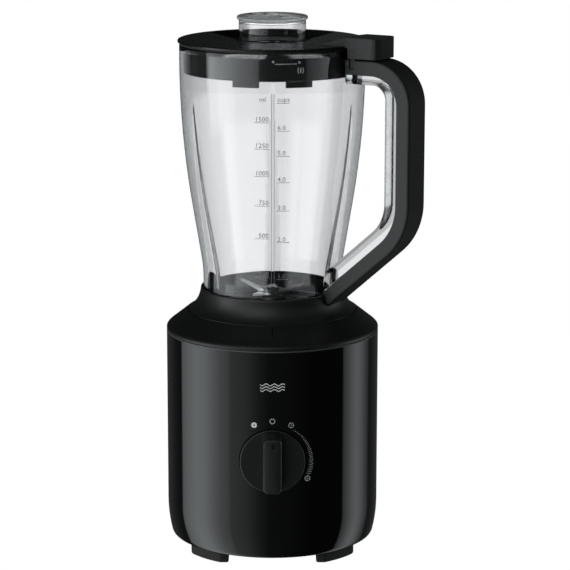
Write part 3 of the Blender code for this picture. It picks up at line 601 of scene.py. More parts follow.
def top_cover():
    low, skirt_low, bed = BASE_TOP_Z + 0.3, 161.0, 160.2
    corners = [(BASE_R, low, 0.25), (BASE_R, COVER_EDGE_Z, 2.4), (CONE_TOP_R, COVER_TOP_Z, 0.7)]
    corners += [(WELL_R, COVER_TOP_Z, 0.2), (WELL_R, DECK_Z, 1.2), (20.0, DECK_Z, 0.8), (20.0, bed, 0.2)]
    corners += [(66.4, bed, 0.3), (66.4, 176.0, 0.3), (74.0, 170.0, 0.2), (74.0, skirt_low, 0.2)]
    corners += [(76.7, skirt_low, 0.2), (76.7, low, 0.0)]
    tab_slot = sector(51.0, 57.0, 255.0, 42.0, 150, 170, 16)
    piece("cover", lathe(corners), SATIN, "base", "satin_cover", "top_cover", steps=[(CUT, tab_slot)])


def foot_outline():
    """The front left foot in plan: an arc outside, an arc inside, and a straight toe that faces the front."""
    inner, outer, toe_x, start = 58.8, 73.8, -32.6, 213.0
    outside = arc(outer, start + 1.4, 238.4, 12)
    x, toe_y = outside[-1]
    toe = bend((x, toe_y), (x + 0.8, toe_y), (x + 1.6, toe_y), 3)[1:]
    toe += bend((toe_x - 1.4, toe_y), (toe_x, toe_y), (toe_x, toe_y + 1.4), 4)
    inner_end = 180 + degrees(acos(-toe_x / inner))
    inside = [(toe_x, -sqrt(inner ** 2 - toe_x ** 2)), *arc(inner, inner_end - 1, start + 2.0, 10)]
    corners = [arc(radius, start, start, 1)[0] for radius in (inner, inner + 2, outer - 2, outer)]
    end = bend(inside[-1], corners[0], corners[1], 4)[1:] + bend(corners[2], corners[3], outside[0], 4)[:-1]
    return outside + toe + inside + end


def feet():
    """Wide arc-shaped rubber feet with softened edges."""
    sides = {"front_left": (1, 1), "front_right": (-1, 1), "back_right": (-1, -1), "back_left": (1, -1)}
    for name, (side_x, side_y) in sides.items():
        outline = [Vector((x * side_x, y * side_y)) for x, y in foot_outline()]
        middle = sum(outline, Vector((0.0, 0.0))) / len(outline)
        sections = []
        for z, size in ((0.0, 0.93), (0.3, 0.962), (1.0, 0.99), (1.8, 1.0), (FOOT_H - GAP, 1.0)):
            sections.append([(*(middle + (point - middle) * size), z) for point in outline])
        foot = new_object(f"rubber_foot_{name}", loft(sections), [FOOT_RUBBER], 40)
        settled(foot, "base", "rubber_feet", f"foot_{name}")


def cord_gland():
    """A flanged bush with a groove that the base's wall sits in."""
    out, wall, groove, lip, end = 82.0, 80.3, 75.5, 72.5, 69.0
    corners = [(3.6, out, 0.5), (8.4, out, 0.8), (9.0, wall, 0.1), (6.6, wall, 0), (6.6, groove, 0)]
    corners += [(8.6, groove, 0.2), (8.6, lip, 0.2), (6.6, lip, 0), (6.6, end, 0.2), (3.6, end, 0.2)]
    piece("gland", tipped(lathe(corners, 48), GLAND_Z, -90), SATIN, "base", "satin_cover", "cord_gland")


def on_cylinder(across, height, radius, layer):
    """A point on the front of an upright cylinder, the layer above its surface."""
    swell = 1 + layer / radius
    return across * swell, -sqrt(radius ** 2 - across ** 2) * swell, height


def wrapped(outline, radius):
    """A flat outline of (across, height) points, printed on the front of an upright cylinder."""
    return loft([[on_cylinder(*point, radius, layer) for point in outline] for layer in (INK_LOW, INK_HIGH)])


def ring_mark(across, height, outer, inner, radius, steps=28):
    """A printed ring, made of short wrapped pieces that share their ends."""
    bm = bmesh.new()
    rows = []
    for size, layer in ((outer, INK_LOW), (outer, INK_HIGH), (inner, INK_HIGH), (inner, INK_LOW)):
        circle = arc(size, 0, 360 - 360 / steps, steps - 1, (across, height))
        rows.append([bm.verts.new(on_cylinder(*point, radius, layer)) for point in circle])
    return banded(bm, rows + rows[:1])


def dial_place(angle, distance):
    """(across, height) of a dial mark, its angle clockwise from the top."""
    turn = radians(angle)
    return distance * sin(turn), KNOB_Z + distance * cos(turn)


def dial_marks():
    """Rings round the knob for its positions, two of them barred, and ticks that grow with the speed."""
    marks_r, ring_r, hole_r, pulse_hole_r = 30.6, 2.1, 1.45, 0.6
    off, slow, fast = (0.0, marks_r), (26.6, marks_r), (118.4, marks_r - 1.3)
    marks = [ring_mark(*dial_place(*place), ring_r, hole_r, BASE_R) for place in (off, slow, fast)]
    for place, half in ((slow, 0.28), (fast, 0.45)):
        x, z = dial_place(*place)
        marks.append(wrapped(oblong(x - half, z - 0.6, x + half, z + 0.6), BASE_R))
    ticks, half = 28, 0.34
    for share in evenly(0, 1, ticks - 1):
        angle, lean = 34.0 + 78.5 * share, 2.2 * share
        middle, length = 28.2 + 0.5 * share, 0.5 + 2.6 * min(1.0, share * 1.3)
        inner, outer = middle - length / 2, middle + length / 2
        corners = [(angle - half, inner), (angle + half, inner)]
        corners += [(angle + half - lean, outer), (angle - half - lean, outer)]
        marks.append(wrapped([dial_place(*corner) for corner in corners], BASE_R))
    pulse = ring_mark(*dial_place(-26.0, marks_r), ring_r, pulse_hole_r, BASE_R)
    piece("dial_marks", together(marks), PRINT, "base", "gloss_shell")
    piece("pulse_mark", pulse, BRIGHT_PRINT, "base", "gloss_shell")


def badge():
    """A plain mark of three short waves in the badge's place."""
    middle_z, spacing, half_length, half_width = 139.8, 2.1, 9.0, 0.36
    wave_height, wave_length = 0.75, 6.0
    strokes = []
    for row in (-1, 0, 1):
        level = middle_z + spacing * row
        line = [(x, level + wave_height * sin(x * 2 * pi / wave_length))
                for x in evenly(-half_length, half_length, 36)]
        bottom = [(x, z - half_width) for x, z in reversed(line)]
        strokes.append(wrapped([(x, z + half_width) for x, z in line] + bottom, BASE_R))
    piece("wave_badge", together(strokes), BRIGHT_PRINT, "base", "gloss_shell")


def cover_line():
    """The short alignment line on the cover's slope."""
    edge = Vector((BASE_R, COVER_EDGE_Z))
    slope = (Vector((CONE_TOP_R, COVER_TOP_Z)) - edge).normalized()
    out = Vector((slope.y, -slope.x))
    points = [edge + slope * along + out * lift for along, lift in oblong(11.5, -0.25, 19.0, 0.04)]
    sections = [[(x, -point.x, point.y) for point in points] for x in (-0.35, 0.35)]
    piece("alignment_line", loft(sections), GLOSS, "base", "satin_cover")


# ---- Knob ----

def bar_outline(half, reach):
    """The knob's bar in plan, with round corners."""
    corner = 3.6
    right_top = arc(corner, 0, 90, 5, (half - corner, reach - corner))
    top = right_top + [(-x, y) for x, y in reversed(right_top)]
    return top + [(-x, -y) for x, y in top]


def knob():
    corners = [(0, KNOB_BACK, 0), (KNOB_R, KNOB_BACK, 0.3), (KNOB_R, KNOB_FACE, 0.9), (0, KNOB_FACE, 0)]
    disc = tipped(lathe(corners, 128, closed=False), KNOB_Z)
    half, root, end, top = 6.9, 23.5, 20.6, KNOB_REACH
    levels = (
        (KNOB_FACE - 2, half, root),
        (KNOB_FACE + 0.4, half, root - 0.35),
        (KNOB_FACE + 2.0, half - 0.05, root - 0.75),
        (top - 2.2, half - 0.1, end + 0.35),
        (top - 1.1, half - 0.25, end + 0.1),
        (top - 0.35, half - 0.7, end - 0.4),
        (top, half - 1.5, end - 1.2),
    )
    bar = loft([[(x, y, z) for x, y in bar_outline(across, along)] for z, across, along in levels])
    notch = block((-0.2, 13.4, top - 1.4), (1.9, 17.8, top + 1))
    bore = drum(3.3, 70, 90, 32)
    steps = [(how, tipped(shape, KNOB_Z)) for how, shape in ((JOIN, bar), (CUT, notch), (CUT, bore))]
    piece("speed_knob", disc, KNOB_SATIN, "knob", "knob_satin", "control_knob", steps=steps)


# ---- Couplings and interlock ----

def dog_clutch(name, corners, low, high, start, body, node):
    dogs = sectors(8.0, 16.0, range(start, start + 360, 90), 20.0, low, high)
    piece(name, lathe(corners, MEDIUM), NYLON, body, "nylon", node, steps=[(JOIN, dogs)], bevel=0.35)


def couplings():
    bore_r, hub_r, disc_r = 4.3, 8.5, 17.0
    top = top_of("motor_shaft")
    corners = [(bore_r, top - 9, 0), (hub_r, top - 9, 0.5), (hub_r, top - 5, 0.3), (disc_r, top - 5, 0.6)]
    corners += [(disc_r, top, 0.6), (bore_r, top, 0)]
    dog_clutch("drive_dogs", corners, top - 0.6, top + 5, 0, "rotor", "drive_coupling")
    low = bottom_of("blade_shaft")
    corners = [(bore_r, low, 0), (disc_r, low, 0.6), (disc_r, low + 4.5, 0.6), (hub_r, low + 4.5, 0.3)]
    corners += [(hub_r, low + 7, 0.5), (bore_r, low + 7, 0)]
    dog_clutch("driven_dogs", corners, low - 5.5, low + 0.6, 30, "blades", "driven_coupling")


def interlock():
    inner, outer, low, top = 47, 58, 163.3, 166.3
    corners = [(inner, low, 0.3), (outer, low, 0.3), (outer, top, 0.6), (inner, top, 0.6)]
    lugs = sectors(51.5, 55.0, LUG_AZIMUTHS, 14.0, top - 0.6, top + 5)
    steps = [(JOIN, lugs), (JOIN, sector(52.0, 56.0, 240.0, 8.0, 154.0, low + 0.6))]
    ring = lathe(corners, 128)
    piece("locking_ring", ring, NYLON, "ring", "nylon", "interlock_ring", steps=steps, bevel=0.4)


# ---- Jug ----

JUG_BOTTOM_R, JUG_WALL, JUG_SLOPE = 52.0, 2.6, radians(9.4)
FLARE_LOW_Z, FLARE_TOP_Z, CONE_END_Z, UPRIGHT_Z = 205.0, 222.0, 262.0, 372.0
RIB_TOP_Z, RIB_DEPTH, RIB_HALF, RIB_CREST = 342.0, 6.0, 7.5, 0.2


def jug_radius(z):
    """The jug's outer radius: upright foot, short flare, straight slope, long shoulder, upright rim."""
    flare = (FLARE_TOP_Z - FLARE_LOW_Z) / sin(JUG_SLOPE)
    shoulder = (UPRIGHT_Z - CONE_END_Z) / sin(JUG_SLOPE)
    if z <= FLARE_LOW_Z:
        return JUG_BOTTOM_R
    if z <= FLARE_TOP_Z:
        return JUG_BOTTOM_R + flare - sqrt(flare ** 2 - (z - FLARE_LOW_Z) ** 2)
    radius = JUG_BOTTOM_R + flare * (1 - cos(JUG_SLOPE))
    if z <= CONE_END_Z:
        return radius + (z - FLARE_TOP_Z) * tan(JUG_SLOPE)
    radius += (CONE_END_Z - FLARE_TOP_Z) * tan(JUG_SLOPE)
    left = max(0.0, UPRIGHT_Z - z)
    return radius + sqrt(shoulder ** 2 - left ** 2) - shoulder * cos(JUG_SLOPE)


def rib_depth(azimuth, z):
    """How far the inner wall stands in at a place, because of the three ribs."""
    if z > RIB_TOP_Z:
        return 0.0
    size = ((RIB_TOP_Z - z) / (RIB_TOP_Z - JUG_LOW_Z)) ** 0.7
    half = RIB_HALF * size + 0.2
    for middle in RIB_AZIMUTHS:
        away = radians(abs((azimuth - middle + 180) % 360 - 180)) * (jug_radius(z) - JUG_WALL)
        fall = hypot(away / half, RIB_CREST)
        if fall < 1:
            return RIB_DEPTH * size * (1 - fall) / (1 - RIB_CREST)
    return 0.0


def jug_vessel():
    sides, rim_h = 288, 0.9
    rim_r, rim_z = jug_radius(JUG_TOP_Z) - JUG_WALL / 2, JUG_TOP_Z - rim_h
    profile = [(jug_radius(z), z, False) for z in evenly(JUG_LOW_Z, rim_z, 46)]
    for a in map(radians, (25, 50, 75, 105, 130, 155)):
        profile.append((rim_r + JUG_WALL / 2 * cos(a), rim_z + rim_h * sin(a), False))
    profile += [(jug_radius(z) - JUG_WALL, z, True) for z in evenly(rim_z, JUG_LOW_Z, 60)]
    bm = bmesh.new()
    rings = []
    for radius, z, inside in profile:
        ring = []
        for i in range(sides):
            azimuth = 360 * i / sides
            out = radius - (rib_depth(azimuth, z) if inside else 0.0)
            turn = radians(azimuth)
            ring.append(bm.verts.new((out * cos(turn), out * sin(turn), z)))
        rings.append(ring)
    return new_object("jug_vessel", banded(bm, rings + rings[:1]), [CLEAR], 40)


HANDLE_R, HANDLE_TOP_Z, HANDLE_TOP_BEND, HANDLE_LOW_BEND, HANDLE_SLOPE = 120.8, 375.7, 32.0, 50.0, 41.2
ARM_R, ARM_Z = 79.0, 212.0
GRIP_HALF, GRIP_DEPTH = 13.0, 10.8
PRONG_IN, PRONG_OUT, PRONG_HALF, PRONG_LOW_Z = 71.8, 75.4, 12.0, 369.0
CORE_NEAR, CORE_DEPTH, CORE_TOP_Z = GRIP_DEPTH + 0.3, 21.8, 357.5
HANDLE_TURN = radians(HANDLE_AZIMUTH)
ALONG_HANDLE = Vector((cos(HANDLE_TURN), sin(HANDLE_TURN), 0.0))
ACROSS_HANDLE = Vector((-sin(HANDLE_TURN), cos(HANDLE_TURN), 0.0))


def handle_line(depth, start, end, top_z):
    """The handle's outline at a depth under its outer face, from its upper root to its lower end."""
    radius = HANDLE_TOP_BEND - depth
    top = arc(radius, 90, 0, 20, (HANDLE_R - HANDLE_TOP_BEND, top_z - radius))
    fall, turn = tan(radians(HANDLE_SLOPE)), 90 - HANDLE_SLOPE
    corner_z = ARM_Z + (HANDLE_R - ARM_R) * fall
    centre = (HANDLE_R - HANDLE_LOW_BEND, corner_z + HANDLE_LOW_BEND * tan(radians(turn / 2)))
    low = arc(HANDLE_LOW_BEND - depth, 0, -turn, 16, centre)
    last_r, last_z = low[-1]
    return [(start, top_z), *top, *low, (end, last_z - (last_r - end) * fall)]


def handle_bar(section, start, end, top_at):
    """A bar along the handle, whose section is a ring of (depth, sideways) points."""
    lines = [(handle_line(depth, start, end, top_at(depth)), side) for depth, side in section]
    stations = range(len(lines[0][0]))
    bar = loft([[(line[k][0], side, line[k][1]) for line, side in lines] for k in stations])
    return swung(bar, HANDLE_AZIMUTH)


def bar_section(right):
    """The whole of a section from its right half, as (depth, sideways, rounding) corners."""
    return rounded([(depth, -side, size) for depth, side, size in reversed(right)] + right)


def grip_top(depth):
    return HANDLE_TOP_Z - depth


def core_top(depth):
    """The clear core is thinner along its upper run than down the handle."""
    outer = grip_top(CORE_NEAR)
    return outer - (depth - CORE_NEAR) * (outer - CORE_TOP_Z) / (CORE_DEPTH - CORE_NEAR)


def clear_look(face, out, z):
    """Which of the jug's materials a face has: wall, handle core, rib, or the core's edge. The core, its edge
    and the ribs take greyer copies of the wall's clear plastic: painted shade.
    """
    if out > jug_radius(z) + 0.6:
        return 3 if abs(face.normal.dot(ACROSS_HANDLE)) < 0.9 else 1
    away = off_axis(face.center)
    on_rib = rib_depth(degrees(atan2(away.y, away.x)), z) > 0.15
    return 2 if on_rib and out < jug_radius(z) - JUG_WALL + 0.1 else 0


def clear_jug():
    section = bar_section([(CORE_DEPTH, 9.5, 1.2), (19.0, 12.0, 1.5), (CORE_NEAR, 12.0, 0.4)])
    rows = [(jug_radius(z) - JUG_WALL / 2, z) for z in evenly(JUG_LOW_Z, JUG_TOP_Z, 40)]
    inside = turned([(0, 150), (JUG_BOTTOM_R - JUG_WALL / 2, 150), *rows, (0, JUG_TOP_Z)], 144)
    core = shape_from(handle_bar(section, 60.0, 44.0, core_top), (CUT, inside))
    vessel = combined(jug_vessel(), [(JOIN, core)], 40)
    painted(vessel, (CLEAR, CORE_CLEAR_PAINTED_SHADE, RIB_CLEAR_PAINTED_SHADE, CORE_EDGE_PAINTED_SHADE), clear_look)
    settled(vessel, "jug", "clear_plastic", "jug")


def collar_flare(steps=14):
    return bend((63.3, 182.0), (55.2, 187.0), (54.0, COLLAR_TOP_Z - 0.6), steps)


def collar():
    """A ring with two walls below: the inner takes the interlock, the outer stands in the cover's well."""
    low, seat, shelf = 166.6, 177.7, 174.7
    corners = [(r, z, 0.0) for r, z in collar_flare()]
    corners += [(53.6, COLLAR_TOP_Z, 0.3), (52.3, COLLAR_TOP_Z, 0.3), (52.3, seat, 0), (47.0, seat, 0.2)]
    corners += [(47.0, shelf, 0.2), (49.0, shelf, 0.2), (49.0, low, 0.3), (57.0, low, 0.3)]
    corners += [(57.0, 178.0, 0.3), (60.0, 178.0, 0.3), (60.0, low, 0.3), (62.7, low, 0.3)]
    corners += [(62.7, 181.2, 0.0), (63.3, 181.2, 0.1)]
    pockets = sectors(51.1, 55.4, LUG_AZIMUTHS, 15.0, 160.0, 172.0)
    piece("collar", lathe(corners), COLLAR_SATIN, "jug", "satin_cover", "jug_collar", steps=[(CUT, pockets)])


def collar_dot():
    """The alignment dot on the collar's slope."""
    radius, height, slant = 60.9, 184.0, 42
    dot = lathe([(0, -0.3, 0), (0.9, -0.3, 0), (0.9, 0.05, 0.1), (0, 0.05, 0)], 24, closed=False)
    piece("collar_dot", tipped(dot, height, slant, -radius), SEAL_RUBBER, "jug", "satin_cover")


def grip():
    section = bar_section([(GRIP_DEPTH, GRIP_HALF, 0.5), (0, GRIP_HALF, 1.8)])
    bar = new_object("grip", handle_bar(section, 60.0, 46.0, grip_top))
    low, high = COLLAR_TOP_Z + GAP, COLLAR_TOP_Z + GAP + 176
    clearance = [(0, 170), (64.6, 170)] + [(r + 0.25, z + 0.2) for r, z in collar_flare(10)] + [(53.4, low)]
    clearance += [(jug_radius(z) + GAP, z) for z in evenly(low, high, 44)] + [(0, high)]
    slot = block((PRONG_IN - 0.4, -20, PRONG_LOW_Z - 0.4), (PRONG_OUT + 0.4, 20, HANDLE_TOP_Z + 5))
    combined(bar, [(CUT, turned(clearance, 144)), (CUT, swung(slot, HANDLE_AZIMUTH))])
    painted(bar, (GRIP_SATIN, GRIP_BACK), lambda face, out, z: abs(face.normal.dot(ACROSS_HANDLE)) < 0.6)
    settled(bar, "jug", "satin_cover", "handle_grip")


def blade_floor():
    """The jug's floor with the pedestal that holds the blades' shaft."""
    bore_r, stem_r, low, rim_low, top = 6.0, 12.0, 180.0, 178.0, 192.0
    corners = [(bore_r, 171.5, 0.2), (stem_r, 171.5, 0.4), (stem_r, low, 0.4), (48.0, low, 0.3)]
    corners += [(48.0, rim_low, 0.2), (51.9, rim_low, 0.3), (51.9, FLOOR_Z, 0.3), (17.0, FLOOR_Z, 2.5)]
    corners += [(11.5, 185.0, 2.0), (9.5, top, 0.8), (bore_r, top, 0.3)]
    piece("blade_floor", lathe(corners), FLOOR_GLOSS, "jug", "lid_plastic", "blade_housing")


def filled_volume(z, steps=60):
    """What the jug holds up to a height, in millilitres, less what the ribs and the blades take."""
    rise = (z - FLOOR_Z) / steps
    area = sum(pi * (jug_radius(FLOOR_Z + rise * (i + 0.5)) - JUG_WALL) ** 2 for i in range(steps))
    return 0.985 * area * rise / 1000


def height_of(volume):
    low, high = FLOOR_Z, JUG_TOP_Z
    for _ in range(30):
        middle = (low + high) / 2
        low, high = (middle, high) if filled_volume(middle) < volume else (low, middle)
    return low


def on_jug(shape):
    """Wraps a flat shape of (across, height, layer) onto the front of the jug."""
    for vert in shape.verts:
        across, height, layer = vert.co
        radius = jug_radius(height) + 0.03 + layer
        vert.co = (across, -sqrt(radius ** 2 - across ** 2), height)
    return shape


def lettering(text, across, height, align):
    """Raised words or numbers, as a shape of (across, height, layer)."""
    curve = bpy.data.curves.new("lettering", "FONT")
    curve.body, curve.size, curve.align_x = text, 5.0, align
    curve.extrude = 0.04
    curve.resolution_u = 2
    holder = in_scene("lettering", curve)
    mesh = evaluated(holder)
    bm = bmesh.new()
    bm.from_mesh(mesh)
    bmesh.ops.remove_doubles(bm, verts=bm.verts, dist=1e-4)
    bm.transform(Matrix.Translation((across, height, 0.04)))
    bpy.data.objects.remove(holder)
    bpy.data.curves.remove(curve)
    bpy.data.meshes.remove(mesh)
    return bm


def ruled(start, end, steps, across=0.0, up=0.0):
    """A line of the scale between two (across, height) points, widened by across and up."""
    rows = []
    for x, z in zip(evenly(start[0], end[0], steps), evenly(start[1], end[1], steps)):
        edges = ((x, z), (x + across, z + up))
        rows.append([(*edges[0], 0.0), (*edges[1], 0.0), (*edges[1], 0.08), (*edges[0], 0.08)])
    return loft(rows)


def jug_scale():
    """The moulded volume scale: millilitres on the left, cups on the right."""
    cup, heading, thick = 236.6, 348.0, 0.35
    cups_left, cups_right = 3.0, 12.6
    parts = []
    for millilitres in range(250, 1501, 250):
        z = height_of(millilitres)
        parts.append(ruled((-13.2, z), (-2.2, z), 6, up=thick))
        parts.append(lettering(str(millilitres), -2.6, z + 1.0, "RIGHT"))
    for cups in range(1, 7):
        z = height_of(cups * cup)
        parts.append(ruled((cups_left, z), (cups_right, z), 6, up=thick))
        parts.append(lettering(f"{cups}.0", 3.6, z + 1.0, "LEFT"))
    parts += [lettering("ml", -4.6, heading, "RIGHT"), lettering("cups", 3.4, heading, "LEFT")]
    parts.append(ruled((cups_left, heading - 1.2), (cups_right, heading - 1.2), 6, up=thick))
    for x in (-0.9, 1.1):
        parts.append(ruled((x, height_of(cup) - 4), (x, heading + 6), 24, across=0.3))
    scale = new_object("jug_scale", together([on_jug(part) for part in parts]), [SCALE_INK], 60)
    settled(scale, "jug", "clear_plastic")


# ---- Blades ----

SPINDLE_R = 2.9
BLADE_LOW = {"lower_blade": 193.5, "upper_blade": 195.3}


def blade(name, node, turn, rise, reach):
    """Two arms across the shaft, bent up or down at the hub, each ground on top towards its leading edge."""
    low, root, half, lead_tip, trail_tip, thick = BLADE_LOW[node], 9.0, 5.5, 1.0, 1.6, 1.5
    arms = []
    for side in (0, 180):
        sections = []
        for x in evenly(-2.0, reach, 12):
            past = max(0.0, x - root)
            out, z = past / (reach - root), low + past * tan(radians(rise))
            lead = half + (lead_tip - half) * out ** 0.9
            trail = half + (trail_tip - half) * out ** 0.7
            bevel = min(2.4, (lead + trail) * 0.7)
            points = [(-trail, 0.0), (lead, 0.0), (lead, 0.15), (lead - bevel, thick), (-trail, thick)]
            sections.append([(x, y, z + up) for y, up in points])
        arms.append(swung(loft(sections), turn + side))
    whole = new_object(name, arms[0], [BLADE_STEEL], 20)
    hub, hole = drum(7.6, low, low + thick, 48), drum(SPINDLE_R, low - 5, low + 8, 32)
    combined(whole, [(JOIN, arms[1]), (JOIN, hub), (CUT, hole)], 20)
    settled(whole, "blades", "blade_steel", node)


def blades():
    blade("lower_blades", "lower_blade", 38, -3, 18.0)
    blade("upper_blades", "upper_blade", -17, 22, 25.0)


def cap_nut():
    """A six-sided nut with a turned chamfer and a domed end."""
    low, side, radius = bottom_of("cap_nut"), 1.9, 4.6
    hexagon = prism(arc(radius, 0, 300, 5), low, low + side)
    chamfer = [(0, low - 1), (radius + 0.4, low - 1), (radius + 0.4, low + 1.2), (radius - 0.9, low + side)]
    chamfer.append((0, low + side))
    dome = [(0, low + 0.5, 0), (3.5, low + 0.5, 0), (3.5, low + 2.4, 1.0), (2.2, low + 3.0, 0.8)]
    dome.append((0, low + 3.0, 0))
    bore = drum(SPINDLE_R, low - 3, low + 1.6, 32)
    steps = [(KEEP, turned(chamfer, 48)), (JOIN, lathe(dome, 48, closed=False)), (CUT, bore)]
    piece("dome_nut", hexagon, NUT_STEEL, "blades", "blade_steel", "cap_nut", steps=steps)


# ---- Lid and measuring cap ----

def recess_outline(grow=0.0):
    """Round in front of the cap, flaring out to a wide arc at the back."""
    front_r, back_r, back_half = 28.0, 64.0, 47.0
    half = degrees(asin(back_half / back_r))
    return arc(front_r + grow, 180, 360, 40) + arc(back_r + grow, 90 - half, 90 + half, 40)


def lid_look(face, out, z):
    """Which of the lid's materials a face has: top, skirt or recess."""
    if z < LID_EDGE_Z + 0.05 and out > 63.0:
        return 1
    return 2 if out < 26.0 or out < LID_R - 4 and z < LID_TOP_Z - 0.6 else 0


def lid():
    corners = [(0, LID_TOP_Z, 0), (LID_R, LID_TOP_Z, 1.4), (LID_R, LID_EDGE_Z, 0.4)]
    corners += [(SKIRT_R, LID_EDGE_Z, 0.1), (SKIRT_R, SKIRT_LOW_Z, 0.5), (0, SKIRT_LOW_Z, 0)]
    cover = new_object("lid_cover", lathe(corners, closed=False))
    bed = prism(recess_outline(2.4), 377.6, 383.2)
    lugs = sectors(62.9, 65.7, (-107, -73, 73, 107), 17, SKIRT_LOW_Z - 4.5, SKIRT_LOW_Z + 2)
    combined(cover, [
        (CUT, shape_from(drum(63.8, 350, 383.0), (CUT, bed))),
        (CUT, prism(recess_outline(), 380.0, 395)),
        (CUT, drum(25.5, 350, 395)),
        (JOIN, lugs),
    ])
    painted(cover, (LID_SATIN, SKIRT_GLOSS, RECESS_MATTE), lid_look)
    settled(softened(cover, 0.3, 50, 2), "lid", "lid_plastic", "lid")


def lid_tab():
    """The tab over the handle, its root that slopes onto the lid, and its prong behind the grip."""
    near, far, half, corner, low, top = 70.8, 95.9, 14.75, 6.5, 376.6, TAB_TOP_Z - 0.02
    plan = [(near, -half), *arc(corner, -90, 0, 8, (far - corner, corner - half))]
    plan += [*arc(corner, 0, 90, 8, (far - corner, half - corner)), (near, half)]
    tab = new_object("lid_tab", swung(prism(plan, low, TAB_TOP_Z), HANDLE_AZIMUTH))
    side = [(36.0, 384.6), (40.0, 385.3)] + bend((44.0, 385.5), (52.0, 386.6), (58.0, 388.6), 5)
    side += bend((60.0, 389.3), (66.0, 391.2), (73.0, top), 5) + [(77.0, top), (77.0, 384.1), (36.0, 384.1)]
    ridge = loft([[(r, y, z) for r, z in side] for y in (0.05 - half, half - 0.05)])
    prong = block((PRONG_IN, -PRONG_HALF, PRONG_LOW_Z), (PRONG_OUT, PRONG_HALF, low + 1))
    combined(tab, [(JOIN, swung(shape, HANDLE_AZIMUTH)) for shape in (ridge, prong)])
    # The sides are painted lighter and the outer end darker: painted light and shade.
    painted(tab, (TAB_SATIN_PAINTED_LIGHT, TAB_END_PAINTED_SHADE), lambda face, out, z: face.normal.dot(ALONG_HANDLE) > 0.5)
    settled(softened(tab, 0.9, 40, 3), "lid", "lid_plastic")


def skirt_marks():
    """Small lock pictograms on the skirt: a dot, a line, a dot, and a bracketed bar below the second dot."""
    marks = [ring_mark(0.5, 376.5, 0.75, 0.2, SKIRT_R, 16), ring_mark(19.0, 375.9, 0.95, 0.3, SKIRT_R, 16)]
    line = evenly(1.8, 17.0, 12)
    outlines = [[(x, 374.6) for x in line] + [(x, 375.05) for x in reversed(line)]]
    bar_x, bar_half = 20.0, 0.35
    outlines.append(oblong(bar_x - bar_half, 368.3, bar_x + bar_half, 371.7))
    for side in (-1, 1):
        outer = [(bar_x + side * (0.9 + 1.3 * cos(a)), 370 + 2.6 * sin(a))
                 for a in map(radians, range(-60, 61, 20))]
        outlines.append(outer + [(x - side * 0.5, z) for x, z in reversed(outer)])
    marks += [wrapped(outline, SKIRT_R) for outline in outlines]
    piece("skirt_marks", together(marks), PRINT, "lid", "lid_plastic")


def measuring_cap():
    """A cup upside down with a wide rim on top, and a seal round it where it sits in the lid."""
    inner, rim, seal, seal_low, seal_high = 23.1, 26.35, 26.8, 380.3, 381.6
    corners = [(0, 401.4, 0), (17.5, 401.6, 2.0), (22.5, CAP_TOP_Z, 1.5), (25.6, CAP_TOP_Z, 0.6)]
    corners += [(rim, 402.2, 0.5), (rim, 400.8, 0.5), (CAP_R, 399.6, 0.6), (CAP_R, seal_high + 0.2, 0.1)]
    corners += [(seal, seal_high, 0.3), (seal, seal_low, 0.2), (CAP_R, seal_low, 0.1)]
    corners += [(CAP_R, CAP_LOW_Z, 0.7), (inner, CAP_LOW_Z, 0.7), (inner, 398.8, 1.5), (0, 399.4, 0)]
    cap = new_object("measuring_cap", lathe(corners, closed=False, sides=128), sharp=40)
    painted(cap, (CAP_CLEAR, CAP_TOP_CLEAR, SATIN),
            lambda face, out, z: 1 if z > 399.2 else 2 if out > CAP_R + 0.05 and z < 382.3 else 0)
    settled(cap, "cap", "clear_plastic", "filler_cap")


def cap_marks():
    places = ((-9.5, -2.0, 378.0), (-9.5, -2.0, 386.0), (2.0, 5.0, 386.0))
    marks = [wrapped(oblong(left, z, right, z + 0.3), CAP_R) for left, right, z in places]
    piece("cap_marks", together(marks), PRINT, "cap", "clear_plastic")


# ---- CAD nodes that keep their own shape ----

KEPT = (
    (SATIN, ("bottom_plate",)),
    (LAMINATIONS, ("motor_stator", "armature_core")),
    (WINDINGS, ("field_coil_back", "field_coil_front", "armature_windings")),
    (CAST_METAL, ("upper_bracket", "lower_bracket")),
    (BRONZE, ("commutator", "upper_bearing", "lower_bearing", "brush_holder_back", "brush_holder_front",
              "lower_bush", "upper_bush")),
    (CARBON, ("carbon_brush_back", "carbon_brush_front")),
    (BOARD, ("control_board",)),
    (NYLON, ("speed_switch", "interlock_switch", "cooling_fan")),
    (SEAL_RUBBER, ("jug_seal", "shaft_seal", "lid_seal")),
    (BLADE_STEEL, ("blade_shaft", "blade_spacer")),
    (BOLT_STEEL, ("motor_shaft", "knob_shaft", "motor_screw_left", "motor_screw_right", "hanger_screw_left",
                  "hanger_screw_right", *[f"bottom_screw_{number}" for number in range(1, 5)])),
)


def finish_kept_nodes():
    for finish, names in KEPT:
        for name in names:
            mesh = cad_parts[name].data
            mesh.materials.clear()
            mesh.materials.append(finish.material)


# ---- Stage, light and camera ----

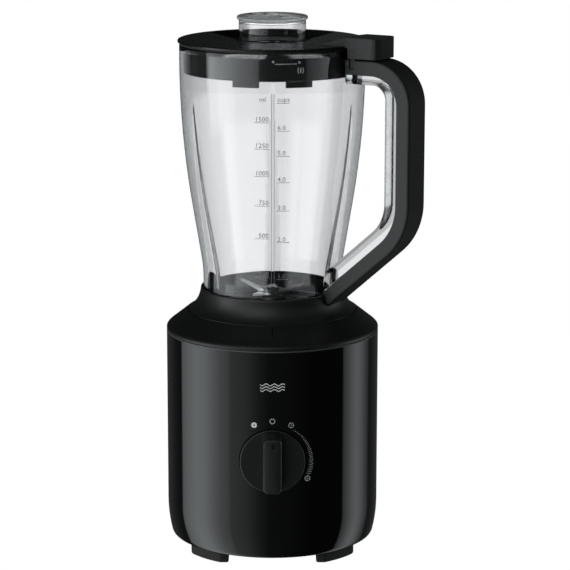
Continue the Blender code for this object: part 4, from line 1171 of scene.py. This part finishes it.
# How bright the studio is in each direction round the object: degrees right of the camera, and brightness.
# Each has a wide soft box on the left and a narrow one on the right. The second is what rays meet that have
# been through the clear plastic, where the soft boxes stand nearer the camera. The third is the same from
# low down, which is where the jug's tapering wall reflects.
OPEN_STUDIO = (
    (-180, 0.02), (-145, 0.05), (-124, 0.02), (-118, 0.02), (-115.5, 0.8), (-104, 1.5), (-91, 2.3),
    (-79, 2.4), (-69, 1.87), (-59, 1.3), (-49, 0.98), (-46, 0.65), (-30, 0.48), (-15, 0.18), (-4, 0.06),
    (20, 0.04), (45, 0.0), (82.5, 0.0), (84, 0.5), (96, 1.15), (104, 1.35), (111, 1.0), (120, 0.45),
    (131, 0.03), (150, 0.04),
)
THROUGH_CLEAR = (
    (-180, 0.02), (-140, 0.04), (-132, 0.9), (-112, 0.9), (-108, 0.05), (-89, 0.05), (-87, 2.4),
    (-65, 2.15), (-45, 1.6), (-30, 1.2), (-18, 0.8), (-16, 0.1), (5, 0.06), (42, 0.06), (45, 0.4),
    (60, 0.7), (77, 1.3), (79, 0.04), (108, 0.04), (112, 0.9), (132, 0.9), (140, 0.04),
)
LOW_THROUGH_CLEAR = (
    (-180, 0.02), (-140, 0.04), (-132, 0.1), (-112, 0.1), (-108, 0.05), (-70, 0.05), (-64, 3.9),
    (-12, 3.6), (-7, 0.06), (20, 0.06), (30, 2.9), (66, 2.9), (72, 0.05), (108, 0.04), (112, 0.1),
    (132, 0.1), (140, 0.04),
)
BRIGHTEST = 4.0


def brightness_round(wiring, bearing, stops):
    """A brightness looked up by the direction in plan."""
    node = wiring.node("ValToRGB", {"Fac": wiring.plus(wiring.maths("DIVIDE", bearing, 360.0), 0.5)})
    elements = node.color_ramp.elements
    for index, (angle, brightness) in enumerate(stops):
        position = (angle + 180) / 360
        element = elements[index] if index < 1 else elements.new(position)
        element.position = position
        element.color = (*shade(brightness / BRIGHTEST), 1.0)
    elements.remove(elements[len(stops)])
    return wiring.times(node.outputs["Color"], BRIGHTEST)


def studio_world():
    """White to direct and see-through rays, and a dark studio with soft boxes for shine."""
    world = bpy.data.worlds.new("studio")
    scene.world = world
    world.use_nodes = True
    sky = Wiring(world.node_tree)
    sky.tree.nodes.clear()
    times, plus, between = sky.times, sky.plus, sky.between
    x, y, z = sky.node("SeparateXYZ", {0: sky.node("TexCoord").outputs["Generated"]}).outputs
    bearing = times(sky.maths("ARCTAN2", x, times(y, -1.0)), 180 / pi)
    been_through = sky.maths("MINIMUM", sky.node("LightPath").outputs["Transmission Depth"], 1.0)

    open_boxes, clear_boxes, low_boxes = (
        brightness_round(sky, bearing, stops) for stops in (OPEN_STUDIO, THROUGH_CLEAR, LOW_THROUGH_CLEAR)
    )
    clear_boxes = sky.pick(between(z, -0.23, -0.28), clear_boxes, low_boxes)
    boxes = times(sky.pick(been_through, open_boxes, clear_boxes), between(z, 0.6, 0.15))
    # Further round to the left than 88.5 degrees, the boxes are bright only low down.
    cut_short = times(sky.maths("LESS_THAN", bearing, -88.5), between(z, -0.19, -0.17))
    boxes = times(boxes, sky.maths("SUBTRACT", 1.0, times(cut_short, 0.9)))
    patch = times(between(bearing, -80.0, -30.0), between(bearing, 15.0, -20.0))
    front_top = times(between(z, 0.2, 0.45), between(z, 0.95, 0.7), between(y, 0.2, -0.2))
    front_top = times(front_top, plus(times(patch, 1.1), 0.14))
    # Only rays that have been through the clear plastic meet these two.
    overhead = times(between(z, 0.52, 0.66), between(y, 0.0, 0.3), been_through, 3.5)
    behind = times(between(y, 0.5, 0.8), between(z, 0.0, -0.1), been_through, 0.6)
    studio = plus(boxes, front_top, 0.02, overhead, behind)

    direct = sky.seen_directly()
    tint = sky.node("Mix", {0: direct, 6: (0.93, 0.99, 1.0, 1.0), 7: (1.0, 1.0, 1.0, 1.0)})
    tint.data_type = "RGBA"
    light = {"Color": tint.outputs[2], "Strength": sky.pick(direct, studio, 1.0)}
    sky.node("OutputWorld", {0: sky.node("Background", light).outputs[0]})


def floor():
    """A white floor that stays out of the object's reflections, where the studio's own light belongs."""
    finish = Finish("floor_white", shade(0.1), 0.9)
    finish.set({"Emission Color": (1.0, 1.0, 1.0, 1.0), "Emission Strength": 0.99, "Specular IOR Level": 0.0})
    see_through, white = finish.node("BsdfTransparent").outputs[0], finish.shader.outputs[0]
    mix = finish.node("MixShader", {0: finish.seen_directly(), 1: see_through, 2: white})
    finish.feed(finish.tree.nodes["Material Output"], {"Surface": mix.outputs[0]})
    bm = bmesh.new()
    bmesh.ops.create_circle(bm, cap_ends=True, segments=96, radius=2500.0)
    new_object("floor", bm, [finish])


def studio_camera():
    """A long lens a little above the lid, tipped down; the object stands left of the picture's middle."""
    distance, height, pitch = 1813.0, 594.6, 12.31
    data = bpy.data.cameras.new("camera")
    data.sensor_width = 36.0
    data.lens = 155.05
    data.shift_x = 0.0221
    camera = in_scene("camera", data)
    camera.location = TO_FRAME @ Vector((0.0, -distance, height))
    camera.rotation_euler = (radians(90 - pitch), 0.0, 0.0)
    scene.camera = camera


scene.view_settings.view_transform = "Standard"
BUILDERS = (
    studio_camera, studio_world, floor, base_shell, top_cover, feet, cord_gland, dial_marks, badge,
    cover_line, knob, couplings, interlock, clear_jug, collar, collar_dot, grip, blade_floor, jug_scale,
    blades, cap_nut, lid, lid_tab, skirt_marks, measuring_cap, cap_marks, finish_kept_nodes,
)
for build in BUILDERS:
    build()
